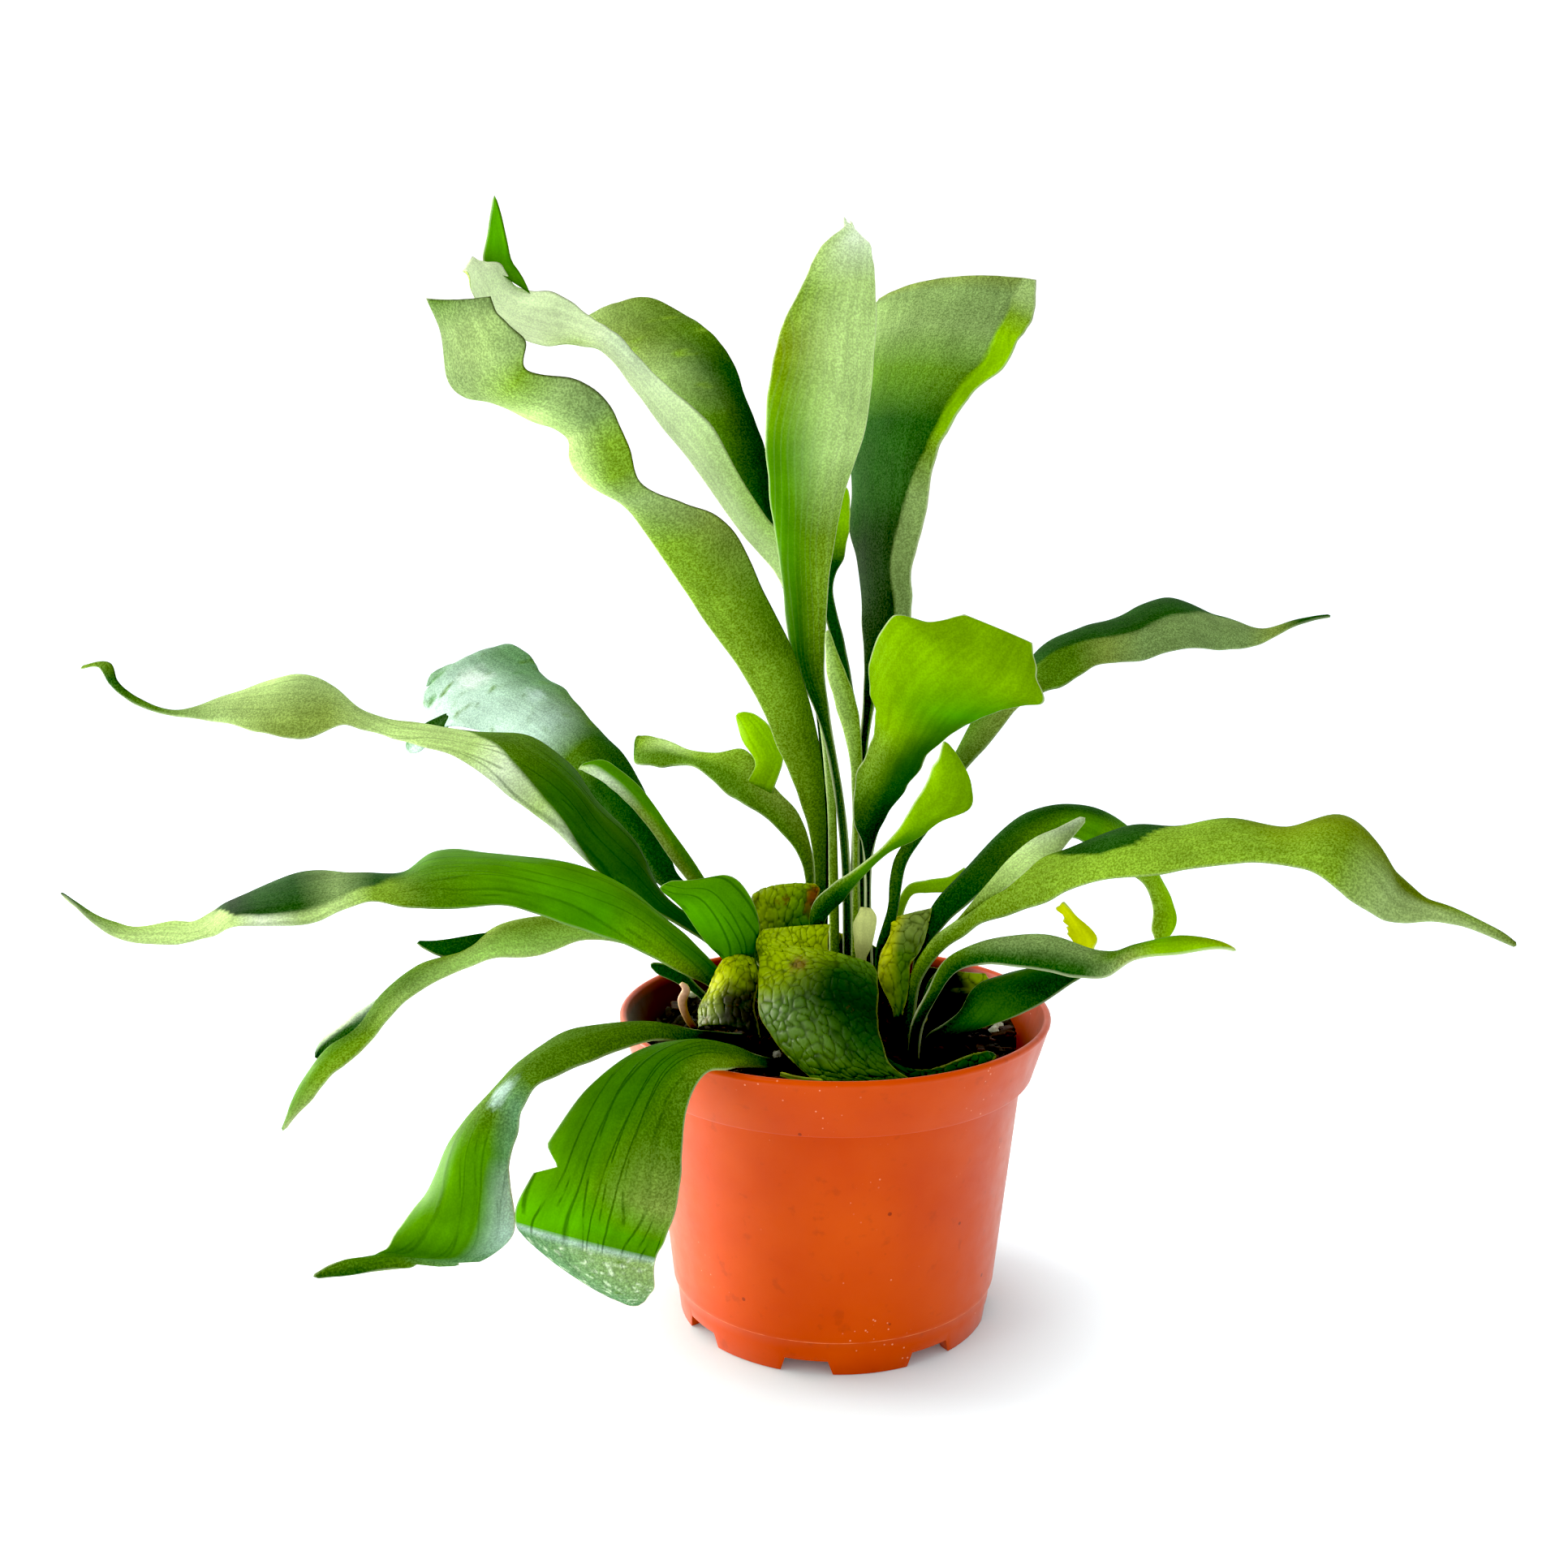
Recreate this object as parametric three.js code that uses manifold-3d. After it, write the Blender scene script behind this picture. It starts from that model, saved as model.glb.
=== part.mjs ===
// A staghorn fern growing in a plastic nursery pot, in millimetres, +Z up.
// The origin is on the pot's axis at floor level. +X is to the right and -Y is towards the viewer.
import * as THREE from 'three';
import { mergeVertices } from 'three/addons/utils/BufferGeometryUtils.js';
import Module from 'manifold-3d';

const wasm = await Module();
wasm.setup();

// The pot: a thin moulded shell with a rolled rim, a wide band under it and a notched foot
const potHeight = 87;
const rimRadius = 60;
const rimLip = 2;
const bandHeight = 16.4;
const bandBottomRadius = 55.4;
const bodyTopRadius = 52.4;
const stepHeight = 9.8;
const stepRadius = 45.8;
const footTopRadius = 45;
const footRadius = 44;
const wall = 1.4;
const footRing = 3;
const floorHeight = 5;
const padRadius = 15;
const edgeRound = 0.6;
const potSides = 48;

// The eight notches in the foot and the drain hole in the floor behind each of them
const notchCount = 8;
const notchHeight = 4.7;
const notchAngle = 18;
const notchDepth = 6;
const firstNotch = -99;
const drainRadius = 4;
const drainCircle = 31;

// The soil, with low lumps on it, and the rhizome that the fronds grow from
const soilLevel = 80;
const soilLump = 1.1;
const soilSides = 32;
const soilRings = [1, 0.85, 0.68, 0.5, 0.3];
const crownCentre = new THREE.Vector3(-1, -2, 69);
const crownRadii = new THREE.Vector3(33, 30, 28);
const crownBump = 0.035;
const clearance = 0.35;

// Every blade
const bladeThickness = 1;
const lobeRootThickness = 0.8;
const stalkThickness = 2.4;
const stalkWidth = 3.2;
const stalkPart = 0.3;
const bladeColumns = 4;
const rowSpacing = 8;
const waveLength = 34;
const waveHeight = 0.9;
const fullWaveWidth = 14;

// A frond is drawn by its two margins, from the stalk to the tip. Each row gives the point on its
// left margin, the point on its right margin and how far the blade bulges between them. Left and
// right are those of someone who faces the plant and looks along the frond's growth.
const fronds = [
  {
    name: 'frond_upper_left_wavy', colour: 0x6e9a3a, base: [-4, -2, 90], rows: [
      [-6, -3, 130.5, -2.5, -3, 131, 0.5],
      [-9.5, -6.5, 146, -3, -5.5, 147.5, 1.5],
      [-15.5, -10.5, 162, -5, -8, 165, 2],
      [-23, -17.5, 180, -10.5, -15.5, 187, 3],
      [-34, -24.5, 197, -19, -23.5, 205, 3],
      [-43, -35, 213, -26, -34, 220, 3],
      [-50, -43, 224, -37.5, -43, 227, 2],
      [-57.5, -46.5, 230, -47, -49.5, 232, 2],
      [-63, -49.5, 236, -48, -56, 239, 2],
      [-64, -51, 242, -51, -59, 248, 2.5],
      [-71, -52.5, 246, -60.5, -63.5, 254, 3],
      [-81, -52.5, 249, -69, -68, 257, 3],
      [-88.5, -52.5, 253, -71.5, -71.5, 264, 3],
      [-92, -54, 263, -77, -71.5, 270, 2],
      [-93, -59, 269, -83, -71.5, 272, 1],
    ],
  },
  {
    name: 'frond_upper_left_pale', colour: 0xa9c48a, base: [0, 6, 91], rows: [
      [-2.5, 6.5, 144.5, 0, 6.5, 144.5, 0],
      [-5.5, 8.5, 170.5, -2.5, 8.5, 170.5, 0],
      [-10, 10.5, 188.5, -5, 10.5, 189.5, 1],
      [-16.5, 11, 206, -7, 11.5, 209, -1],
      [-26.5, 9, 218, -19, 12, 222, -2],
      [-42, 4.5, 240, -35, 9.5, 247, -2],
      [-53, 0, 254, -47.5, 6, 259, -1],
      [-61.5, -3, 265, -58, 3, 269, -1],
      [-70, -6, 266, -65.5, 3, 275, -2],
      [-79, -12.5, 267, -76, 3, 280, -3],
      [-87, -18.5, 272, -84.5, 0, 283, -3],
      [-93, -20, 279, -90.5, -4.5, 287, -2],
      [-94, -18.5, 284, -93.5, -8, 288, -0.5],
    ], lobes: [
      { from: [0.82, 0.55, 0.93, 0.6], rows: [
        [-91, -8, 287.5, -84, -3, 286.5, -1.5],
        [-89.5, -6, 294.5, -85, -3, 294, -1],
        [-89, -4.5, 299, -86.5, -3, 300, -0.5],
        [-88.5, -4.5, 303, -87.5, -4.5, 303, 0],
      ] },
    ],
  },
  {
    name: 'frond_upper_left_dark', colour: 0x1e4a22, base: [-4, 13, 88], rows: [
      [-4, 13.5, 143.5, -1.5, 13.5, 143.5, 0],
      [-6, 18, 169, -3, 18, 169.5, 0],
      [-10.5, 23.5, 187, -6, 23.5, 188, 1],
      [-17.5, 31, 206, -11, 31, 210, 1],
      [-26, 38.5, 221, -18.5, 38.5, 222.5, 2],
      [-34, 46.5, 238, -21, 46.5, 240.5, 3],
      [-42.5, 52.5, 253.5, -26.5, 52.5, 254.5, 3],
      [-51.5, 59, 267, -35.5, 59, 269, 3],
      [-61.5, 65, 274, -46.5, 63.5, 279, 2.5],
      [-71.5, 70, 278, -59.5, 68, 286, 1.5],
      [-74, 71.5, 281, -70, 71.5, 284, 0.5],
    ],
  },
  {
    name: 'frond_tall_centre', colour: 0x7fae5c, base: [4, 0, 91], rows: [
      [1, -1, 136, 3.5, -1, 136.5, 0],
      [-4, -1, 165, -1, -1, 165.5, 0],
      [-10, -2.5, 180.5, -3, -2.5, 181.5, 1],
      [-13, -4, 190.5, -3, -4, 192, 2],
      [-15, -7, 209, -1.5, -5.5, 210, 3],
      [-17.5, -10.5, 226, 2, -7.5, 227.5, 4],
      [-18.5, -14, 242.5, 6.5, -9.5, 243.5, 5],
      [-17.5, -15.5, 257, 9, -9.5, 258.5, 5],
      [-14.5, -14, 269, 9.5, -8, 272, 4],
      [-10, -12.5, 279, 9.5, -6, 283, 3],
      [-5, -9.5, 289, 8, -4.5, 290.5, 2],
      [-1, -8, 293, 6, -4.5, 293.5, 1],
      [1.5, -6, 295, 3.5, -6, 294.5, 0],
    ],
  },
  {
    name: 'frond_tall_right', colour: 0x2c5a2e, base: [5, 13, 88], rows: [
      [5, 13.5, 143.5, 8, 13.5, 143.5, 0],
      [7.5, 19.5, 171.5, 11.5, 19.5, 171.5, 0],
      [7.5, 26.5, 191, 20.5, 19, 194, 2],
      [5.5, 34, 209.5, 21.5, 17, 210, 3],
      [3.5, 42, 225.5, 25.5, 18.5, 227.5, 3],
      [4, 49.5, 243, 29.5, 20, 244.5, 4],
      [7, 54, 258, 35, 21.5, 252, 4],
      [9, 59, 271, 48, 21.5, 265, 5],
      [10.5, 63.5, 281, 54, 28, 277, 6],
      [11.5, 66.5, 285.5, 55, 34, 285, 6],
    ],
  },
  {
    name: 'frond_narrow_behind', colour: 0x24502a, base: [8, 6, 90], columns: 2, rows: [
      [5, 6.5, 150.5, 7, 6.5, 150.5, 0],
      [2, 6, 173, 5, 6, 173.5, 0],
      [-1, 5, 186.5, 2.5, 5, 187.5, 0],
      [-5, 4, 202.5, -1, 4, 204, 0.5],
      [-7, 3, 211.5, 2, 3, 212, 1],
      [-5.5, 1.5, 221.5, 3.5, 1.5, 221.5, 1],
      [-3, 1.5, 228, 3, 1.5, 229, 0.5],
      [-0.5, 1.5, 231, 1.5, 1.5, 231, 0],
    ],
  },
  {
    name: 'frond_narrow_pale', colour: 0xb9c79a, base: [6, -7, 90], columns: 2, rows: [
      [4.5, -5, 141.5, 6.5, -5, 141.5, 0],
      [3.5, -7, 159.5, 7, -7, 160, 1],
      [0, -8.5, 172.5, 5.5, -8.5, 173.5, 1.5],
      [-2.5, -10, 181.5, 2.5, -10, 182, 1],
      [-3, -10.5, 188, 0, -10.5, 188, 0.5],
      [-3, -10.5, 193, -2, -10.5, 193.5, 0],
    ],
  },
  {
    name: 'frond_broad_bright', colour: 0x4f9c1c, base: [9, -4, 89], rows: [
      [7.5, -9, 132.5, 10.5, -9, 133, 0],
      [4.5, -12.5, 144, 13.5, -12.5, 143.5, 2],
      [5, -15.5, 154, 19, -17.5, 152.5, 3],
      [9, -20, 166, 23.5, -23.5, 161, 4],
      [10, -23, 173, 29, -29, 168, 4],
      [7.5, -25, 180, 37, -34, 175, 5],
      [9, -28.5, 190, 44.5, -38.5, 178, 6],
      [12.5, -32, 197, 50, -42, 179, 6],
      [19.5, -34, 198, 50, -42, 187, 4],
      [29.5, -35.5, 199, 49, -40, 193, 2],
    ],
  },
  {
    name: 'frond_twisted_ribbon', colour: 0x6aa63a, base: [0, -12, 89], rows: [
      [-6.5, -16, 119, -3, -16, 115, 1],
      [-1, -20, 127, 2.5, -20, 123, 1.5],
      [4, -23, 131, 6.5, -23, 129, 1],
      [12, -26.5, 138.5, 13.5, -26.5, 137, 0.5],
      [16.5, -30, 145, 20, -29.5, 141, 1],
      [19, -33, 151, 26.5, -31.5, 146, 2],
      [22.5, -35, 157, 34, -32.5, 150, 3],
      [24.5, -37.5, 162, 34, -35, 157, 2],
      [26, -38, 166.5, 30.5, -37, 164, 1],
      [26.5, -38.5, 168.5, 27.5, -38.5, 168, 0],
    ],
  },
  {
    name: 'frond_right_upper', colour: 0x8db36c, base: [15, -9, 88], rows: [
      [11, -11, 105.5, 15, -11, 105, 0.5],
      [14, -10, 117.5, 17, -10, 117.5, 0.5],
      [16, -8, 131, 19.5, -8, 130, 0.5],
      [23.5, -3, 142, 27, -4.5, 141, 0.5],
      [30, 2.5, 154.5, 35, -2.5, 154, 1],
      [39, 12.5, 167, 43.5, 2.5, 164, 1],
      [50, 26, 176, 53, 10.5, 171, 2],
      [61, 41, 184, 64, 20, 176, 3],
      [74, 54.5, 189, 74, 28, 179, 3],
      [88.5, 67, 191, 87, 39, 181, 3],
      [104.5, 80.5, 196, 102, 48, 182, 4],
      [120.5, 83.5, 189, 119.5, 65, 181, 3],
      [135.5, 87, 185, 135.5, 77.5, 182, 1.5],
      [148, 88.5, 188, 148, 85, 187.5, 0.5],
      [157.5, 90, 190, 158.5, 90, 189, 0],
    ],
  },
  {
    name: 'frond_right_forked', colour: 0x86ad64, base: [15, -17, 77], rows: [
      [18.5, -18, 88, 21, -18, 87, 0],
      [20.5, -18, 102, 23.5, -20, 101.5, 0],
      [26, -18, 111.5, 29.5, -21, 110, 0.5],
      [33.5, -18, 118, 36, -23, 115, 1],
      [41.5, -18, 126, 43.5, -28, 121, 2],
      [51, -19, 133, 52, -34, 126, 3],
      [61, -21, 138, 61, -39.5, 131, 3],
      [74.5, -25, 144, 73, -46.5, 136, 3],
      [87, -31.5, 145, 84, -50.5, 139, 3],
      [98.5, -36, 149, 95.5, -55.5, 141, 3],
      [111, -43.5, 148, 106.5, -61, 142, 3],
      [122.5, -45.5, 151, 113.5, -67, 141, 4],
      [130, -49.5, 147, 119, -69.5, 136, 4],
      [134, -56, 140, 126, -69.5, 131, 3],
      [139, -62, 135, 135, -70, 132, 1],
      [145.5, -66.5, 133, 144, -70, 130.5, 0.5],
      [152.5, -70, 130, 151.5, -71.5, 128, 0.5],
      [157, -71.5, 127, 156.5, -71.5, 126, 0],
    ], lobes: [
      { from: [0.27, 0.2, 0.33, 0.6], rows: [
        [42, -19.5, 133, 47, -26, 131, 1.5],
        [49.5, -18, 139, 52.5, -26, 135, 1.5],
        [57, -16.5, 143, 58, -22, 140, 1],
        [61.5, -17, 144, 62, -18, 142, 0.5],
        [65, -17, 145.5, 65.5, -17, 145, 0],
      ] },
    ],
  },
  {
    name: 'frond_right_arching', colour: 0x1c4020, base: [20, -14, 80], rows: [
      [20.5, -12, 96.5, 23.5, -12, 96, 0],
      [22, -9, 107, 25, -10, 106.5, 0],
      [26.5, -4, 117, 31, -8, 114, 1],
      [33.5, 2, 124, 39, -6, 120, 2],
      [43.5, 8.5, 132, 49.5, -3.5, 127, 3],
      [55, 16, 139, 57.5, 0, 133, 3],
      [67, 22, 141, 64, 3.5, 134, 3],
      [77.5, 25, 138, 71.5, 7, 131, 3],
      [87.5, 23, 130, 80, 11, 125, 2],
      [92.5, 18, 121, 86, 11.5, 120, 1.5],
      [96, 14, 114, 89.5, 11.5, 113, 1.5],
      [96.5, 11.5, 108.5, 89.5, 10, 107, 1],
      [93.5, 10, 103.5, 90.5, 10, 103.5, 0.5],
    ],
  },
  {
    name: 'frond_right_low', colour: 0x5c9c2c, base: [21, -24, 80], rows: [
      [20, -26, 90.5, 23.5, -26, 89.5, 0],
      [24.5, -31, 102.5, 27.5, -31, 101.5, 0.5],
      [28, -34, 110.5, 31.5, -36, 108.5, 1],
      [35.5, -35, 115, 37, -41, 111, 2],
      [44.5, -36.5, 118, 44.5, -45, 112, 2],
      [53.5, -39, 119, 52.5, -49, 113, 2],
      [61.5, -42.5, 117, 59, -51.5, 112, 2],
      [68.5, -46.5, 117, 67, -53.5, 112, 2],
      [74, -50.5, 120, 73, -55.5, 117, 1.5],
      [84, -54, 123, 82.5, -58.5, 120, 1],
      [92.5, -57, 122.5, 91.5, -59.5, 121.5, 0.5],
      [96, -59.5, 121.5, 96, -59.5, 121, 0],
    ],
  },
  {
    name: 'frond_right_lowest_dark', colour: 0x173a1c, base: [24, -19, 78], rows: [
      [24.5, -24, 87, 27, -24, 84, 0],
      [28.5, -27, 91, 32.5, -27, 88, 1],
      [33.5, -28, 96, 39, -32, 92, 2],
      [37, -28, 102, 45.5, -36, 96, 3],
      [43, -27, 105, 53.5, -41, 102, 3],
      [50.5, -30.5, 108, 59.5, -43.5, 107, 2],
      [57.5, -34.5, 108.5, 62.5, -41, 108.5, 1],
    ],
  },
  {
    name: 'frond_left_upper', colour: 0x9cbf6e, base: [-17, 1, 89], rows: [
      [-35.5, 0, 104.5, -33.5, 2, 106.5, 0],
      [-49.5, -5.5, 115, -48.5, 3, 119, 1],
      [-59, -6.5, 122, -56.5, 9, 130, 2],
      [-70, -7, 131, -65.5, 14.5, 140, 3],
      [-81.5, -6.5, 142, -74.5, 19, 150, 3],
      [-93.5, -4, 151, -88.5, 22, 159, 3],
      [-106, 0, 157, -104, 20, 162, 2],
      [-120.5, 6, 161, -119.5, 15, 164, 1],
      [-133, 9.5, 163, -133.5, 18.5, 167, 1],
      [-141.5, 9.5, 163, -146, 28, 173, 2],
      [-151.5, 9.5, 161, -158, 31, 176, 3],
      [-164, 14, 161, -169, 31, 174, 3],
      [-177, 20, 164, -180.5, 31, 169, 1.5],
      [-194, 28, 164, -193.5, 29.5, 165.5, 0.5],
      [-207, 31, 167.5, -206, 32.5, 169, 0.5],
      [-214, 32.5, 173, -211, 32.5, 173.5, 0.5],
      [-217.5, 34, 177.5, -214, 34, 179, 0.5],
      [-224, 35.5, 177, -223, 35.5, 178, 0],
    ],
  },
  {
    name: 'frond_left_middle', colour: 0x4fa016, base: [-21, -6, 86], rows: [
      [-36, -12, 97, -33, -10, 102, 1],
      [-44.5, -19, 103, -42, -11, 112, 2],
      [-55.5, -27, 112, -54.5, -11, 122, 3],
      [-66, -34.5, 119, -68, -13, 129, 3],
      [-77.5, -42.5, 124, -82, -15, 133, 3],
      [-88, -50, 128, -95, -17.5, 135, 3],
      [-98, -56.5, 130, -105.5, -22, 135, 3],
      [-107, -58.5, 130, -111, -31, 132, 2],
      [-114.5, -60.5, 131, -122, -35.5, 133, 2],
      [-123, -64, 129, -133, -37, 133, 2],
      [-132, -68, 127, -144, -40.5, 131, 2],
      [-143.5, -68, 126.5, -152, -46.5, 128.5, 1.5],
      [-152, -66.5, 124, -155.5, -57.5, 125.5, 0.5],
      [-160, -66.5, 122, -165.5, -52.5, 124, 1],
      [-169, -66.5, 122.5, -173.5, -56, 124.5, 1],
      [-177, -66.5, 127, -177, -63.5, 128, 0.5],
      [-183, -65, 132, -183, -63.5, 132, 0],
      [-186.5, -63.5, 134, -186, -63.5, 134.5, 0],
    ],
  },
  {
    name: 'frond_left_drooping', colour: 0x4c9a1a, base: [-23, 3, 85], rows: [
      [-43.5, 0, 100, -42, 1, 102, 0],
      [-57, -4.5, 105, -56, -2, 109, 0.5],
      [-69, -12.5, 109, -69, -6, 111, 1],
      [-79, -20.5, 107, -80.5, -8.5, 114, 2],
      [-89, -26.5, 107, -90.5, -14, 114, 2],
      [-97.5, -31.5, 106, -100.5, -24, 108, 1],
      [-105, -37.5, 103, -110, -29, 106, 1],
      [-111, -44, 98.5, -118, -35.5, 100.5, 1],
      [-116.5, -49.5, 93.5, -122, -45, 94, 0.5],
      [-121, -55, 89, -128, -50.5, 91, 1],
      [-125, -59, 85.5, -132, -56, 86, 1],
      [-129.5, -63.5, 81, -133.5, -61.5, 81, 0.5],
      [-133.5, -68, 76.5, -134.5, -68, 75.5, 0],
    ], lobes: [
      { from: [0.56, 0.4, 0.5, 0.8], rows: [
        [-120, -38.5, 93, -123, -35, 96, 1.5],
        [-126.5, -39.5, 88, -129, -34, 92, 1.5],
        [-132.5, -39, 85, -134, -36.5, 88, 0.5],
        [-134.5, -39.5, 84, -135, -39.5, 85, 0],
      ] },
      { from: [0.42, 0.5, 0.4, 0.8], rows: [
        [-103, -26.5, 108, -105, -21.5, 111, 0.5],
        [-110.5, -25, 110.5, -111.5, -23.5, 111.5, 0],
      ] },
    ],
  },
  {
    name: 'frond_front_left_hanging', colour: 0x3f8a1c, base: [-24, -14, 82], rows: [
      [-37.5, -30, 86, -36.5, -27, 89, 0],
      [-46, -40, 90, -48, -33.5, 93, 1],
      [-56.5, -53.5, 91, -62.5, -42, 94, 2],
      [-66, -63, 90, -74.5, -50.5, 91, 3],
      [-72, -69.5, 86, -81.5, -58.5, 87, 3],
      [-75, -72.5, 79.5, -88, -64, 80.5, 4],
      [-77.5, -75, 72, -94, -70.5, 71.5, 5],
      [-76.5, -76, 63, -98.5, -76, 63, 6],
      [-76.5, -76.5, 54, -103.5, -80.5, 57, 5],
      [-84.5, -79, 48, -106, -83, 53, 3],
      [-99.5, -84.5, 49, -109.5, -86, 53, 1],
      [-110.5, -90, 50, -116, -90.5, 53, 0.5],
      [-119, -95, 51.5, -119.5, -95, 52.5, 0],
    ],
  },
  {
    name: 'frond_front_wide_hanging', colour: 0x55a41c, base: [-16, -26, 79], rows: [
      [-19.5, -42, 84, -21, -40, 87, 0],
      [-25.5, -54, 88, -27.5, -47, 92, 1],
      [-31, -66, 90, -37, -54, 96, 2],
      [-34, -73, 87, -45.5, -57, 95, 3],
      [-35.5, -77, 81, -53, -62.5, 92, 4],
      [-35.5, -79, 75, -60.5, -68.5, 87, 5],
      [-36, -80, 68, -67, -75, 79, 6],
      [-37.5, -81.5, 61, -71, -80, 71, 6],
      [-39.5, -83.5, 56, -74, -83.5, 65, 5],
      [-41.5, -85, 52, -74, -86, 61, 4],
      [-41.5, -86, 47, -67, -86, 53, 3],
      [-43, -86.5, 44, -55, -85.5, 45, 1.5],
      [-44.5, -86.5, 42, -48, -85.5, 41.5, 0.5],
    ],
  },
  {
    name: 'frond_centre_short_bright', colour: 0x62ab20, base: [-15, -12, 88], rows: [
      [-30, -16, 104.5, -21.5, -15, 105.5, 1],
      [-34.5, -20, 111, -20, -18, 115, 3],
      [-38.5, -22.5, 118, -22.5, -20, 124, 4],
      [-42, -25, 123, -28.5, -21.5, 130, 3],
      [-45, -26.5, 126, -36.5, -24, 129, 2],
      [-46, -27, 128, -43.5, -27, 129.5, 0.5],
    ],
  },
  {
    name: 'frond_left_curled', colour: 0x7fa886, base: [-14, 8, 89], columns: 2, rows: [
      [-37, 6, 116, -34, 6, 118, 0],
      [-44, 4, 125, -39.5, 5, 127, 1],
      [-52.5, 1, 138.5, -47.5, 3.5, 139, 2],
      [-58.5, -1, 146, -53, 1, 148, 2],
      [-63.5, -3.5, 151, -59, -1, 154, 1.5],
      [-68, -5, 154, -63.5, -2.5, 157, 1],
      [-70, -5, 155, -68.5, -5, 156.5, 0],
    ],
  },
  {
    name: 'frond_left_back_silver', colour: 0xa9c4bc, base: [-11, 13, 88], rows: [
      [-41.5, 16, 112, -38.5, 16, 115, 0],
      [-52.5, 21.5, 117, -46, 22, 120, 1],
      [-63, 29, 128, -52, 31.5, 133, 3],
      [-74, 37, 138, -60.5, 46, 145, 4],
      [-87, 47.5, 146, -73, 62, 155, 5],
      [-101.5, 58.5, 151, -85.5, 77, 165, 6],
      [-117.5, 70.5, 154, -97, 89, 171, 6],
      [-131, 81.5, 157, -106, 96, 179, 5],
      [-135.5, 90, 164, -116, 100.5, 175, 3],
      [-136, 96, 168.5, -128.5, 102.5, 170.5, 1],
    ], lobes: [
      { from: [0.72, 0.3, 0.78, 0.1], rows: [
        [-131, 76, 148, -136.5, 80.5, 152, 0.5],
        [-138, 80, 144, -140.5, 80.5, 147, 0],
      ] },
    ],
  },
  {
    name: 'frond_centre_left_back', colour: 0x5f8f3a, base: [-9, 4, 90], rows: [
      [-9, 6, 125, -6, 6, 127, 0],
      [-15.5, 8, 135, -10.5, 9.5, 140, 1],
      [-25, 10.5, 142, -18.5, 15.5, 148, 1],
      [-31.5, 14.5, 145, -26, 21.5, 156, 2],
      [-39, 19.5, 150, -34, 23, 155, 1],
      [-45.5, 23.5, 151, -43, 28.5, 155, 1],
      [-52, 26, 150, -49.5, 33, 157, 1],
      [-58.5, 30.5, 150, -55.5, 36, 158, 1],
      [-59.5, 33.5, 154, -59.5, 36.5, 158, 0],
    ], lobes: [
      { from: [0.38, 0.4, 0.3, 0.7], rows: [
        [-23, 14.5, 153, -14.5, 13.5, 156, 1],
        [-26.5, 16.5, 159, -18.5, 15, 164, 1.5],
        [-28, 18, 164, -22.5, 16.5, 167, 1],
        [-28.5, 18, 167, -27, 18, 167.5, 0],
      ] },
    ],
  },
  {
    name: 'frond_young_club', colour: 0xb9be84, base: [8, -13, 89], columns: 2, thickness: 2.6, rows: [
      [6, -15, 104.5, 8.5, -15, 104.5, 0],
      [5.5, -16, 110.5, 10, -16, 110.5, 1],
      [5, -17, 116, 11, -17, 116, 1],
      [6, -17, 118.5, 10.5, -17, 118.5, 0.5],
      [7, -17, 120, 9.5, -17, 120, 0],
    ],
  },
  {
    name: 'frond_thin_behind', colour: 0x86b83a, base: [14, 7, 88], columns: 2, rows: [
      [17, 10, 112.5, 19.5, 10, 111.5, 0],
      [20.5, 12, 119, 22, 12, 116, 0],
      [26, 15, 120, 27, 15, 116, 0.5],
      [32, 18, 120, 33.5, 18, 116, 0.5],
      [35, 20, 121, 36.5, 20, 118.5, 0],
      [37.5, 22.5, 122, 38, 22.5, 121, 0],
    ],
  },
  {
    name: 'frond_small_dark', colour: 0x1b3f1e, base: [-27, -8, 82], columns: 2, rows: [
      [-38.5, -9, 93, -37, -9, 95, 0],
      [-44, -8, 96, -41.5, -8, 99, 0.5],
      [-49, -7, 98, -47, -7, 101, 0.5],
      [-51, -7.5, 100.5, -50.5, -7.5, 101.5, 0],
    ],
  },
  {
    name: 'frond_yellow_tip', colour: 0xb9c416, base: [24, -11, 80], columns: 2, rows: [
      [26.5, -18, 102, 27, -18, 100, 0],
      [39, -24, 109.5, 39.5, -24, 107, 0],
      [52.5, -30, 113, 53, -30, 111, 0],
      [60, -33.5, 116, 63.5, -33.5, 111, 0.5],
      [60, -33.5, 118.5, 67.5, -34.5, 116, 1],
      [58, -33.5, 122, 64, -34.5, 121, 1],
      [56.5, -33.5, 124.5, 59.5, -34, 125.5, 0.5],
      [57.5, -34, 126, 58, -34, 126.5, 0],
    ],
  },
];

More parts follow.
